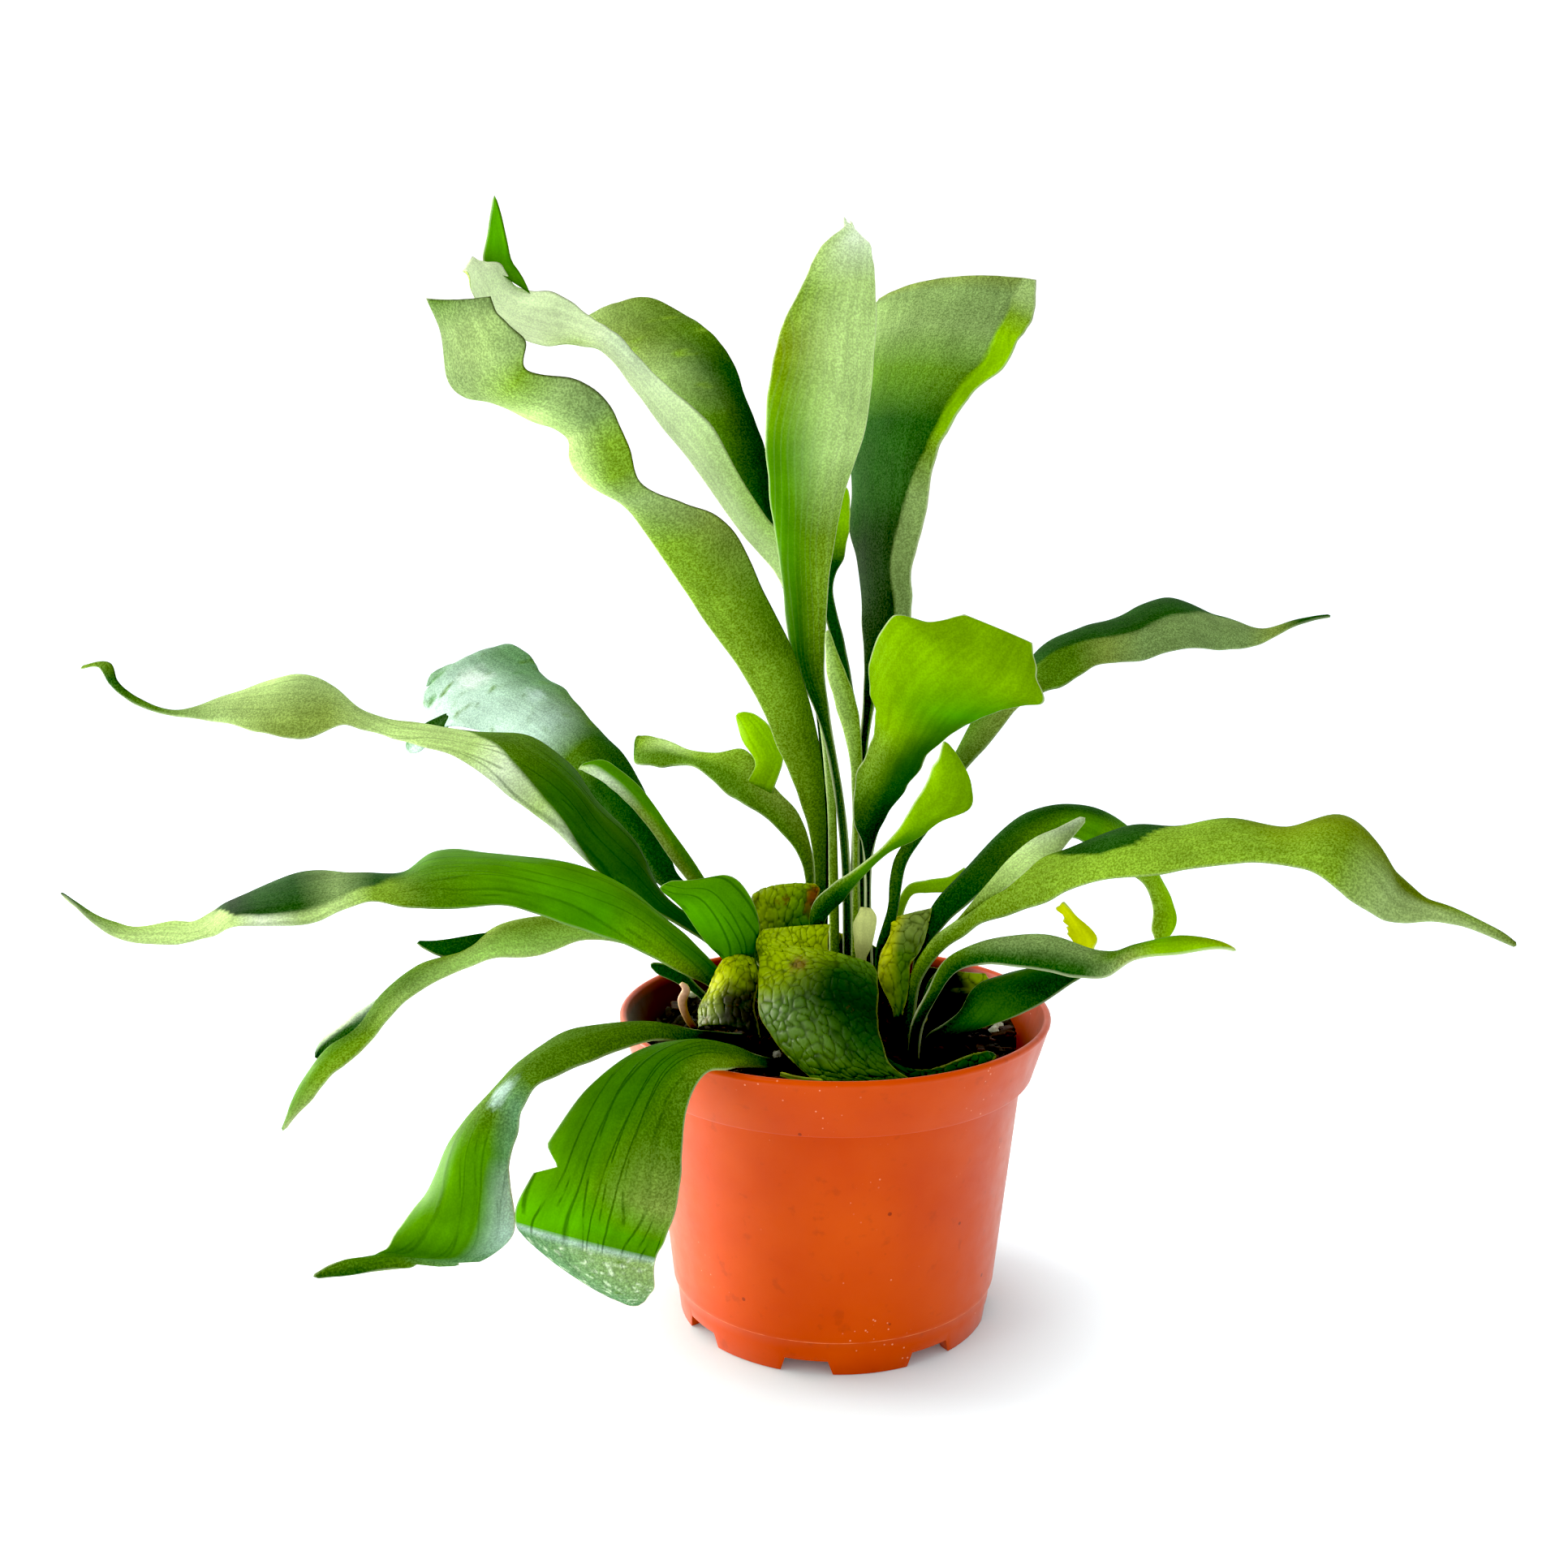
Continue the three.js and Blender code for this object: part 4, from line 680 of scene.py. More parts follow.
fronds["frond_right_arching"] = dict(
    slot="frond_dark", base=(20, -14, 80), back=[(0, "moss", "moss")], veins=0.15,
    rows=[
        (20.5, -12, 96.5, 23.5, -12, 96, 0), (22, -9, 107, 25, -10, 106.5, 0),
        (26.5, -4, 117, 31, -8, 114, 1), (33.5, 2, 124, 39, -6, 120, 2), (43.5, 8.5, 132, 49.5, -3.5, 127, 3),
        (55, 16, 139, 57.5, 0, 133, 3), (67, 22, 141, 64, 3.5, 134, 3), (77.5, 25, 138, 71.5, 7, 131, 3),
        (87.5, 23, 130, 80, 11, 125, 2), (92.5, 18, 121, 86, 11.5, 120, 1.5),
        (96, 14, 114, 89.5, 11.5, 113, 1.5), (96.5, 11.5, 108.5, 89.5, 10, 107, 1),
        (93.5, 10, 103.5, 90.5, 10, 103.5, 0.5)],
    front=[
        (0, "forest", "forest"), (0.3, "forest", "forest"), (0.45, "forest", "moss", 0.6, 0.4),
        (0.6, "forest", "leaf", 0.5, 0.3), (0.7, "leaf", "felt"), (0.8, "lime", "felt"), (1, "lime", "felt")])
fronds["frond_right_low"] = dict(
    slot="frond_green", base=(21, -24, 80), back=[(0, "pale", "pale")], rims=(0.7, 0.7), veins=0.15,
    rows=[
        (20, -26, 90.5, 23.5, -26, 89.5, 0), (24.5, -31, 102.5, 27.5, -31, 101.5, 0.5),
        (28, -34, 110.5, 31.5, -36, 108.5, 1), (35.5, -35, 115, 37, -41, 111, 2),
        (44.5, -36.5, 118, 44.5, -45, 112, 2), (53.5, -39, 119, 52.5, -49, 113, 2),
        (61.5, -42.5, 117, 59, -51.5, 112, 2), (68.5, -46.5, 117, 67, -53.5, 112, 2),
        (74, -50.5, 120, 73, -55.5, 117, 1.5), (84, -54, 123, 82.5, -58.5, 120, 1),
        (92.5, -57, 122.5, 91.5, -59.5, 121.5, 0.5), (96, -59.5, 121.5, 96, -59.5, 121, 0)],
    front=[
        (0, "deep", "deep"), (0.22, "moss", "forest"), (0.3, "moss", "forest", 0.5, 0.6),
        (0.4, "dusk", "forest", 0.6, 0.6), (0.5, "dusk", "forest", 0.65, 0.6),
        (0.6, "dusk", "forest", 0.6, 0.6), (0.68, "moss", "dusk", 0.6, 0.4),
        (0.74, "moss", "olive", 0.6, 0.4), (0.8, "leaf", "lime"), (0.9, "khaki", "lime"),
        (1, "yellow", "felt")])
fronds["frond_right_lowest_dark"] = dict(
    slot="frond_dark", base=(24, -19, 78), back=[(0, "rust", "olive")], veins=0.2,
    rows=[
        (24.5, -24, 87, 27, -24, 84, 0), (28.5, -27, 91, 32.5, -27, 88, 1), (33.5, -28, 96, 39, -32, 92, 2),
        (37, -28, 102, 45.5, -36, 96, 3), (43, -27, 105, 53.5, -41, 102, 3),
        (50.5, -30.5, 108, 59.5, -43.5, 107, 2), (57.5, -34.5, 108.5, 62.5, -41, 108.5, 1)],
    front=[
        (0, "deep", "deep"), (0.5, "deep", "grass", 0.4, 0.6), (0.75, "grass", "deep", 0.5, 0.6),
        (1, "leaf", "forest")])
fronds["frond_left_upper"] = dict(
    slot="frond_pale", base=(-17, 1, 89), columns=44, rowSpacing=1.1,
    back=[(0, "felt", "felt"), (1, "pale", "pale")], crease=(0.2, 0.4, 1.2), rims=(0.4, -0.8), veins=0.5,
    rows=[
        (-35.5, 0, 104.5, -33.5, 2, 106.5, 0), (-49.5, -5.5, 115, -48.5, 3, 119, 1),
        (-59, -6.5, 122, -56.5, 9, 130, 2), (-70, -7, 131, -65.5, 14.5, 140, 3),
        (-81.5, -6.5, 142, -74.5, 19, 150, 3), (-93.5, -4, 151, -88.5, 22, 159, 3),
        (-106, 0, 157, -104, 20, 162, 2), (-120.5, 6, 161, -119.5, 15, 164, 1),
        (-133, 9.5, 163, -133.5, 18.5, 167, 1), (-141.5, 9.5, 163, -146, 28, 173, 2),
        (-151.5, 9.5, 161, -158, 31, 176, 3), (-164, 14, 161, -169, 31, 174, 3),
        (-177, 20, 164, -180.5, 31, 169, 1.5), (-194, 28, 164, -193.5, 29.5, 165.5, 0.5),
        (-207, 31, 167.5, -206, 32.5, 169, 0.5), (-214, 32.5, 173, -211, 32.5, 173.5, 0.5),
        (-217.5, 34, 177.5, -214, 34, 179, 0.5), (-224, 35.5, 177, -223, 35.5, 178, 0)],
    front=[
        (0, "grass", "grass"), (0.2, "grass", "grass", 0, 0.05), (0.24, "frost", "grass", 0.07, 0.05),
        (0.28, "pale", "grass", 0.14, 0.06), (0.33, "frost", "moss", 0.28, 0.06),
        (0.37, "pale", "moss", 0.5, 0.06), (0.4, "pale", "moss", 0.8, 0.06),
        (0.42, "pale", "olive", 1.05, 0.08), (0.47, "pale", "sage"), (0.56, "olive", "sage", 0.6, 0.8),
        (0.64, "olive", "pale", 0.4, 0.8), (0.72, "sage", "sage"), (0.8, "moss", "moss"),
        (0.9, "forest", "forest"), (1, "felt", "felt")])
fronds["frond_left_middle"] = dict(
    slot="frond_green", base=(-21, -6, 86), columns=44, rowSpacing=1.1,
    shade=[(0, 0.6), (0.12, 0.95), (1, 1)], back=[(0, "felt", "felt"), (1, "pale", "pale")],
    crease=(0.47, 0.7, 0.8), rims=(0.4, -0.8), veins=0.35,
    rows=[
        (-36, -12, 97, -33, -10, 102, 1), (-44.5, -19, 103, -42, -11, 112, 2),
        (-55.5, -27, 112, -54.5, -11, 122, 3), (-66, -34.5, 119, -68, -13, 129, 3),
        (-77.5, -42.5, 124, -82, -15, 133, 3), (-88, -50, 128, -95, -17.5, 135, 3),
        (-98, -56.5, 130, -105.5, -22, 135, 3), (-107, -58.5, 130, -111, -31, 132, 2),
        (-114.5, -60.5, 131, -122, -35.5, 133, 2), (-123, -64, 129, -133, -37, 133, 2),
        (-132, -68, 127, -144, -40.5, 131, 2), (-143.5, -68, 126.5, -152, -46.5, 128.5, 1.5),
        (-152, -66.5, 124, -155.5, -57.5, 125.5, 0.5), (-160, -66.5, 122, -165.5, -52.5, 124, 1),
        (-169, -66.5, 122.5, -173.5, -56, 124.5, 1), (-177, -66.5, 127, -177, -63.5, 128, 0.5),
        (-183, -65, 132, -183, -63.5, 132, 0), (-186.5, -63.5, 134, -186, -63.5, 134.5, 0)],
    # the thin pale strip on the left margin from 0.53 to 0.68 is a painted sheen along the fold
    front=[
        (0, "forest", "leaf"), (0.1, "felt", "leaf", 0.3, 0.4), (0.2, "vivid", "leaf", 0.5, 0.8),
        (0.32, "leaf", "leaf", 0.5, 0.8), (0.4, "moss", "leaf", 0.4, 0.7), (0.46, "felt", "forest", 0.5, 0.4),
        (0.48, "felt", "forest", 0.3, 0.1), (0.53, "pale", "dusk", 0.12, 0.1),
        (0.58, "pale", "forest", 0.1, 0.1), (0.63, "frost", "forest", 0.1, 0.08),
        (0.66, "pale", "deep", 0.15, 0.06), (0.68, "pale", "forest", 0.6, 0.06), (0.7, "pale", "pale"),
        (0.85, "pale", "felt"), (0.95, "forest", "forest"), (1, "forest", "forest")])
fronds["frond_left_drooping"] = dict(
    slot="frond_green", base=(-23, 3, 85), back=[(0, "pale", "pale")], rims=(0.5, -0.8), veins=0.15,
    rows=[
        (-43.5, 0, 100, -42, 1, 102, 0), (-57, -4.5, 105, -56, -2, 109, 0.5),
        (-69, -12.5, 109, -69, -6, 111, 1), (-79, -20.5, 107, -80.5, -8.5, 114, 2),
        (-89, -26.5, 107, -90.5, -14, 114, 2), (-97.5, -31.5, 106, -100.5, -24, 108, 1),
        (-105, -37.5, 103, -110, -29, 106, 1), (-111, -44, 98.5, -118, -35.5, 100.5, 1),
        (-116.5, -49.5, 93.5, -122, -45, 94, 0.5), (-121, -55, 89, -128, -50.5, 91, 1),
        (-125, -59, 85.5, -132, -56, 86, 1), (-129.5, -63.5, 81, -133.5, -61.5, 81, 0.5),
        (-133.5, -68, 76.5, -134.5, -68, 75.5, 0)],
    front=[
        (0, "moss", "moss"), (0.2, "pale", "olive"), (0.35, "pale", "olive", 0.4, 0.6),
        (0.46, "pale", "olive", 0.5, 0.6), (0.56, "sage", "moss", 0.4, 0.8), (0.7, "felt", "moss", 0.4, 0.8),
        (0.85, "felt", "leaf"), (1, "sage", "leaf")],
    lobes=[
        dict(
            root=(0.56, 0.4, 0.5, 0.8), rims=(-0.8, -0.8),
            rows=[
                (-120, -38.5, 93, -123, -35, 96, 1.5), (-126.5, -39.5, 88, -129, -34, 92, 1.5),
                (-132.5, -39, 85, -134, -36.5, 88, 0.5), (-134.5, -39.5, 84, -135, -39.5, 85, 0)],
            # the silver and frost on the right side are painted highlights
            front=[(0, "teal", "silver"), (0.4, "forest", "frost", 0.6, 0.4), (1, "deep", "teal", 0.6, 0.4)]),
        dict(
            root=(0.42, 0.5, 0.4, 0.8), front=[(0, "forest", "forest")],
            rows=[(-103, -26.5, 108, -105, -21.5, 111, 0.5), (-110.5, -25, 110.5, -111.5, -23.5, 111.5, 0)])])
fronds["frond_front_left_hanging"] = dict(
    slot="frond_green", base=(-24, -14, 82), columns=40, rowSpacing=1.2, ruffle=2.2,
    # the silver blot, and the silver stops from 0.6 to 0.68 along the pot-side margin, are painted sheen
    blots=[(0.415, 0.45, 5.5, 2.6, "silver")], nicks=[(0, 0.78, 3, 2), (0, 0.83, 2, 2)], rims=(0.4, 0.4),
    veins=0.3,
    rows=[
        (-37.5, -30, 86, -36.5, -27, 89, 0), (-46, -40, 90, -48, -33.5, 93, 1),
        (-56.5, -53.5, 91, -62.5, -42, 94, 2), (-66, -63, 90, -74.5, -50.5, 91, 3),
        (-72, -69.5, 86, -81.5, -58.5, 87, 3), (-75, -72.5, 79.5, -88, -64, 80.5, 4),
        (-77.5, -75, 72, -94, -70.5, 71.5, 5), (-76.5, -76, 63, -98.5, -76, 63, 6),
        (-76.5, -76.5, 54, -103.5, -80.5, 57, 5), (-84.5, -79, 48, -106, -83, 53, 3),
        (-99.5, -84.5, 49, -109.5, -86, 53, 1), (-110.5, -90, 50, -116, -90.5, 53, 0.5),
        (-119, -95, 51.5, -119.5, -95, 52.5, 0)],
    front=[
        (0, "deep", "forest"), (0.15, "moss", "moss"), (0.3, "moss", "moss"),
        (0.37, "moss", "moss", 0.4, 0.5), (0.42, "teal", "moss", 0.35, 0.5), (0.46, "teal", "moss", 0.2, 0.4),
        (0.53, "teal", "leaf", 0.12, 0.3), (0.6, "silver", "leaf", 0.16, 0.35),
        (0.68, "silver", "leaf", 0.22, 0.35), (0.75, "teal", "grass", 0.22, 0.35), (0.84, "moss", "grass"),
        (0.92, "forest", "moss"), (1, "forest", "moss")])
fronds["frond_front_wide_hanging"] = dict(
    slot="frond_green", base=(-16, -26, 79),
    mottle=[("frost", 1.6, -0.15, 0.76, 1), ("moss", 2.1, -0.5, 0.76, 1)], folds=[(0.77, 0.8, 2.5)],
    columns=60, rowSpacing=0.7, rims=(0.5, 0.5), veins=0.6, nicks=[(1, 0.585, 5, 3)],
    rows=[
        (-19.5, -42, 84, -21, -40, 87, 0), (-25.5, -54, 88, -27.5, -47, 92, 1),
        (-31, -66, 90, -37, -54, 96, 2), (-34, -73, 87, -45.5, -57, 95, 3),
        (-35.5, -77, 81, -53, -62.5, 92, 4), (-35.5, -79, 75, -60.5, -68.5, 87, 5),
        (-36, -80, 68, -67, -75, 79, 6), (-37.5, -81.5, 61, -71, -80, 71, 6),
        (-39.5, -83.5, 56, -74, -83.5, 65, 5), (-41.5, -85, 52, -74, -86, 61, 4),
        (-41.5, -86, 47, -67, -86, 53, 3), (-43, -86.5, 44, -55, -85.5, 45, 1.5),
        (-44.5, -86.5, 42, -48, -85.5, 41.5, 0.5)],
    front=[
        (0, "moss", "moss"), (0.15, "felt", "moss", 0.35, 0.3), (0.3, "moss", "grass", 0.3, 0.4),
        (0.45, "moss", "grass", 0.35, 0.6), (0.6, "olive", "leaf", 0.4, 0.7),
        (0.7, "leaf", "vivid", 0.3, 0.6), (0.757, "leaf", "vivid"), (0.763, "silver", "silver"),
        (0.775, "sage", "teal"), (1, "teal", "teal")])
fronds["frond_centre_short_bright"] = dict(
    slot="frond_green", base=(-15, -12, 88),
    front=[(0, "leaf", "leaf"), (0.5, "vivid", "leaf"), (1, "leaf", "leaf")], veins=0.5,
    back=[(0, "moss", "moss")],
    rows=[
        (-30, -16, 104.5, -21.5, -15, 105.5, 1), (-34.5, -20, 111, -20, -18, 115, 3),
        (-38.5, -22.5, 118, -22.5, -20, 124, 4), (-42, -25, 123, -28.5, -21.5, 130, 3),
        (-45, -26.5, 126, -36.5, -24, 129, 2), (-46, -27, 128, -43.5, -27, 129.5, 0.5)])
fronds["frond_left_curled"] = dict(
    slot="frond_dark", base=(-14, 8, 89), rims=(0.5, 0.2), veins=0.1, back=[(0, "moss", "moss")],
    rows=[
        (-37, 6, 116, -34, 6, 118, 0), (-44, 4, 125, -39.5, 5, 127, 1), (-52.5, 1, 138.5, -47.5, 3.5, 139, 2),
        (-58.5, -1, 146, -53, 1, 148, 2), (-63.5, -3.5, 151, -59, -1, 154, 1.5),
        (-68, -5, 154, -63.5, -2.5, 157, 1), (-70, -5, 155, -68.5, -5, 156.5, 0)],
    front=[
        (0, "olive", "moss"), (0.5, "olive", "leaf", 0.4, 0.4), (0.75, "frost", "leaf", 0.4, 0.3),
        (1, "pale", "leaf", 0.5, 0.4)])
fronds["frond_left_back_silver"] = dict(
    slot="frond_silver", base=(-11, 13, 88), nicks=[(1, 0.9, 4, 3), (0, 0.93, 3, 2)],
    shade=[(0, 0.5), (0.4, 0.9), (1, 0.9)], mottle=[("moss", 6, -0.35, 0.5, 0.9)], columns=44, rowSpacing=1.1,
    wander=3, rims=(-0.2, -0.4), veins=0.1,
    rows=[
        (-41.5, 16, 112, -38.5, 16, 115, 0), (-52.5, 21.5, 117, -46, 22, 120, 1),
        (-63, 29, 128, -52, 31.5, 133, 3), (-74, 37, 138, -60.5, 46, 145, 4),
        (-87, 47.5, 146, -73, 62, 155, 5), (-101.5, 58.5, 151, -85, 77, 164.5, 6),
        (-117.5, 70.5, 154, -95.5, 89, 169.5, 6), (-133, 81.5, 154, -101.5, 96, 175.5, 5),
        (-135.5, 90, 161, -111.5, 100.5, 179, 3), (-134.5, 96, 169.5, -119, 102.5, 172, 1)],
    front=[
        (0, "forest", "forest"), (0.4, "forest", "forest"), (0.48, "moss", "forest", 0.6, 0.6),
        (0.55, "silver", "moss", 0.7, 0.7), (0.65, "silver", "teal", 0.55, 0.7),
        (0.74, "silver", "teal", 0.6, 0.7), (0.85, "silver", "teal", 0.6, 0.6),
        (1, "teal", "silver", 0.5, 0.8)],
    # the glint blot is a painted highlight
    blots=[
        (0.8, 0.5, 11, 6, "glint"), (0.93, 0.2, 4, 5, "teal"), (0.62, 0.6, 5, 4, "silver"),
        (0.86, 0.12, 3, 3, "teal"), (0.72, 0.8, 3, 3, "teal")],
    lobes=[
        dict(
            root=(0.72, 0.3, 0.78, 0.1),
            rows=[(-131, 76, 148, -136.5, 80.5, 152, 0.5), (-138, 80, 144, -140.5, 80.5, 147, 0)])])
fronds["frond_centre_left_back"] = dict(
    slot="frond_dark", base=(-9, 4, 90), veins=0.15,
    rows=[
        (-9, 6, 125, -6, 6, 127, 0), (-15.5, 8, 135, -10.5, 9.5, 140, 1),
        (-25, 10.5, 142, -18.5, 15.5, 148, 1), (-31.5, 14.5, 145, -26, 21.5, 156, 2),
        (-39, 19.5, 150, -34, 23, 155, 1), (-45.5, 23.5, 151, -43, 28.5, 155, 1),
        (-52, 26, 150, -49.5, 33, 157, 1), (-58.5, 30.5, 150, -55.5, 36, 158, 1),
        (-59.5, 33.5, 154, -59.5, 36.5, 158, 0)],
    front=[
        (0, "moss", "moss"), (0.3, "moss", "olive"), (0.45, "moss", "felt", 0.5, 0.5),
        (0.6, "moss", "felt", 0.5, 0.5), (0.75, "moss", "pale", 0.6, 0.4), (0.9, "moss", "felt", 0.5, 0.5),
        (1, "forest", "moss")],
    lobes=[
        dict(
            root=(0.38, 0.4, 0.3, 0.7), front=[(0, "lime", "lime")],
            rows=[
                (-23, 14.5, 153, -14.5, 13.5, 156, 1), (-26.5, 16.5, 159, -18.5, 15, 164, 1.5),
                (-28, 18, 164, -22.5, 16.5, 167, 1), (-28.5, 18, 167, -27, 18, 167.5, 0)])])
fronds["frond_young_club"] = dict(
    slot="frond_young", base=(8, -13, 89), front=[(0, "young", "young")], back=[(0, "young", "young")],
    rims=(0, 0), veins=0, thickness=2.6,
    rows=[
        (6, -15, 104.5, 8.5, -15, 104.5, 0), (5.5, -16, 110.5, 10, -16, 110.5, 1),
        (5, -17, 116, 11, -17, 116, 1), (6, -17, 118.5, 10.5, -17, 118.5, 0.5),
        (7, -17, 120, 9.5, -17, 120, 0)])
fronds["frond_thin_behind"] = dict(
    slot="frond_green", base=(14, 7, 88), front=[(0, "lime", "lime")], back=[(0, "lime", "lime")], veins=0,
    rows=[
        (17, 10, 112.5, 19.5, 10, 111.5, 0), (20.5, 12, 119, 22, 12, 116, 0), (26, 15, 120, 27, 15, 116, 0.5),
        (32, 18, 120, 33.5, 18, 116, 0.5), (35, 20, 121, 36.5, 20, 118.5, 0),
        (37.5, 22.5, 122, 38, 22.5, 121, 0)])
fronds["frond_small_dark"] = dict(
    slot="frond_dark", base=(-27, -8, 82), front=[(0, "forest", "forest")], back=[(0, "moss", "moss")],
    veins=0.1,
    rows=[
        (-38.5, -9, 93, -37, -9, 95, 0), (-44, -8, 96, -41.5, -8, 99, 0.5), (-49, -7, 98, -47, -7, 101, 0.5),
        (-51, -7.5, 100.5, -50.5, -7.5, 101.5, 0)])
fronds["frond_yellow_tip"] = dict(
    slot="frond_green", base=(24, -11, 80), wander=6, ruffle=2, nicks=[(0, 0.7, 1.5, 1.2), (0, 0.82, 1.2, 1)],
    back=[(0, "yellow", "yellow")], veins=0.05,
    rows=[
        (26.5, -18, 102, 27, -18, 100, 0), (39, -24, 109.5, 39.5, -24, 107, 0),
        (52.5, -30, 113, 53, -30, 111, 0), (60, -33.5, 116, 63.5, -33.5, 111, 0.5),
        (59.5, -33.5, 118, 68, -34.5, 114.5, 1), (58, -33.5, 122, 64.5, -34.5, 119.5, 1),
        (56.5, -33.5, 124.5, 60, -34, 125, 0.5), (57.5, -34, 126, 58, -34, 126.5, 0)],
    front=[(0, "moss", "moss"), (0.4, "moss", "moss"), (0.6, "yellow", "yellow"), (1, "yellow", "yellow")])

shields = {}
shields["shield_front"] = dict(
    # shade and the deep tone on the right are painted shade, where the bulge turns from the light
    slot="shield_green", shade=[(0, 0.86), (0.3, 0.72), (0.5, 0.75), (0.7, 1), (1, 1.1)],
    mottle=[("deep", 6, -0.45, 0, 1)], ruffle=1.5, back=[(0, "lime", "lime")], net=2.1,
    blots=[(0.6, 0.36, 4, 3, "amber")], wander=2.4, rowSpacing=0.35, columns=90,
    rows=[
        (-3, -52, 83, 21, -50.5, 83.5, 2), (-10, -46, 86, 14, -50, 89, 5), (-16.5, -39, 92, 12, -43, 94, 7),
        (-19.5, -33, 96, 11, -37, 99, 8), (-20, -26, 101.5, 12, -30, 102.5, 8),
        (-20.5, -21, 107, 10.5, -25, 106, 6), (-21, -19, 111.5, -1, -22, 107.5, 4),
        (-19.5, -18, 114, -1, -19, 116, 1)],
    front=[
        (0, "moss", "moss", 0.5, 0.6), (0.2, "moss", "forest", 0.6, 0.5), (0.4, "moss", "deep", 0.4, 0.6),
        (0.55, "mustard", "forest", 0.45, 0.5), (0.7, "mustard", "moss", 0.6, 0.6),
        (0.85, "mustard", "mustard"), (1, "mustard", "mustard")],
    lobes=[
        dict(
            root=(0.25, 0.7, 0.04, 0.7), front=[(0, "deep", "deep"), (1, "forest", "forest")], columns=24,
            rows=[
                (19, -48, 86.5, 20, -50, 84, 1), (26, -45.5, 86, 27, -47, 84, 0.5),
                (33.5, -42, 88, 34, -43.5, 84.5, 0.5), (40.5, -38, 88, 42, -39.5, 86, 0.5)])])
shields["shield_left"] = dict(
    slot="shield_green", blots=[(0.28, 0.85, 9, 9, "soot")],
    shade=[(0, 0.4), (0.3, 0.6), (0.6, 0.95), (1, 1)], mottle=[("soot", 3, -0.5, 0, 1)], ruffle=2.5,
    back=[(0, "lime", "lime")], net=2, wander=5, rowSpacing=0.5, columns=70,
    rows=[
        (-36.5, -27, 89.5, -19.5, -36, 90.5, 3), (-37, -24, 93, -19, -31, 94.5, 4),
        (-34, -21, 97.5, -19.5, -27, 98.5, 4), (-32.5, -18, 101, -19.5, -22, 102.5, 4),
        (-30.5, -15, 104, -20.5, -18, 106, 3)],
    front=[
        (0, "olive", "deep", 0.4, 0.6), (0.3, "mustard", "moss", 0.6, 0.6),
        (0.6, "yellow", "mustard", 0.4, 0.6), (1, "yellow", "mustard", 0.4, 0.6)])
shields["shield_back"] = dict(
    slot="shield_green", front=[(0, "moss", "moss"), (0.6, "mustard", "leaf"), (1, "mustard", "mustard")],
    shade=[(0, 0.7), (1, 0.9)], mottle=[("soot", 4, -0.6, 0, 1)], ruffle=2, back=[(0, "lime", "lime")],
    blots=[(0.75, 0.95, 6, 3, "rust")], net=2.2, wander=2, rowSpacing=0.6, columns=80,
    rows=[
        (-18, -13, 91, -8, -13, 91, 1), (-20, -11.5, 99, -7.5, -11, 100, 1),
        (-21, -10, 107, -6.5, -9, 109, 1), (-21.5, -9, 114.5, -6.5, -8, 115.5, 2),
        (-23, -7, 120.5, -4, -7, 122.5, 2), (-18.5, -6, 121.5, -5.5, -6, 123.5, 1)])
shields["shield_right"] = dict(
    slot="shield_green", shade=[(0, 0.8), (1, 0.9)], ruffle=2.5, back=[(0, "mustard", "mustard")], net=2.6,
    wander=4, rowSpacing=0.6, columns=60,
    rows=[
        (15.5, -24, 91.5, 18, -23, 92, 0), (11.5, -19, 103, 20.5, -18, 101, 1),
        (12.5, -15, 108, 22.5, -13, 105.5, 2), (14, -11, 113, 26, -9, 112.5, 2),
        (15, -9, 114.5, 26.5, -7, 117.5, 1)],
    front=[
        (0, "moss", "moss"), (0.45, "yellow", "moss", 0.3, 0.3), (0.7, "yellow", "olive", 0.25, 0.3),
        (1, "yellow", "olive", 0.3, 0.5)])
shields["shield_dead"] = dict(
    slot="shield_dry", back=[(0, "char", "char")], net=3, wander=2.5, rowSpacing=0.6, columns=60,
    rows=[
        (17, -13, 79, 34.5, -13, 80.5, 0), (17, -13, 89, 42.5, -13, 89, 1),
        (18.5, -13, 99, 43.5, -13, 95.5, 2), (24.5, -13, 103, 41, -13, 100.5, 1)],
    front=[
        (0, "char", "char"), (0.6, "char", "char"), (0.72, "char", "mustard", 0.75, 0.3),
        (1, "char", "mustard", 0.6, 0.3)])
shields["shield_rear"] = dict(
    slot="shield_dry", front=[(0, "rust", "mustard")], back=[(0, "rust", "rust")], net=3.4, wander=2,
    rowSpacing=0.8, columns=60,
    rows=[
        (-29, 16, 82, 26, 16, 82, -14), (-26, 15, 90, 23, 15, 90, -13), (-20, 12, 97, 17, 12, 97, -11),
        (-11, 12, 103, 8, 12, 103, -7)])

# Dry scraps that the photograph shows beside the shields
scraps = {}
scraps["dried_stalk_stub"] = dict(
    slot="shield_dry", front=[(0, "rust", "rust"), (0.4, "bone", "rust"), (1, "bone", "bone")], wander=5,
    ruffle=2, veins=0, thickness=1.4, back=[(0, "moss", "moss")],
    rows=[
        (-38.5, -20, 86.5, -36.5, -20, 86.5, 0.5), (-41, -20, 91, -39, -20, 90.5, 0.5),
        (-42, -20, 95, -39.5, -20, 95, 0.5), (-40.5, -20, 98, -38.5, -20, 97.5, 0.5),
        (-42, -20, 100, -39.5, -20, 100, 0.5)])
scraps["torn_shield_edge"] = dict(
    slot="shield_dry", front=[(0, "yellow", "yellow"), (1, "mustard", "yellow")], wander=9, ruffle=3, veins=0,
    columns=14, rowSpacing=0.5, back=[(0, "moss", "moss")],
    rows=[
        (-13.5, -52.5, 85.5, -13.5, -52.5, 87, 0.5), (-10.5, -52.5, 84.5, -10.5, -52.5, 86.5, 0.5),
        (-7.5, -52.5, 84, -7.5, -52.5, 86, 0.5), (-5, -52.5, 83.5, -4.5, -52.5, 85.5, 0.5),
        (-3, -52.5, 83.5, -2.5, -52.5, 85, 0.5)])


# Fronds and shields

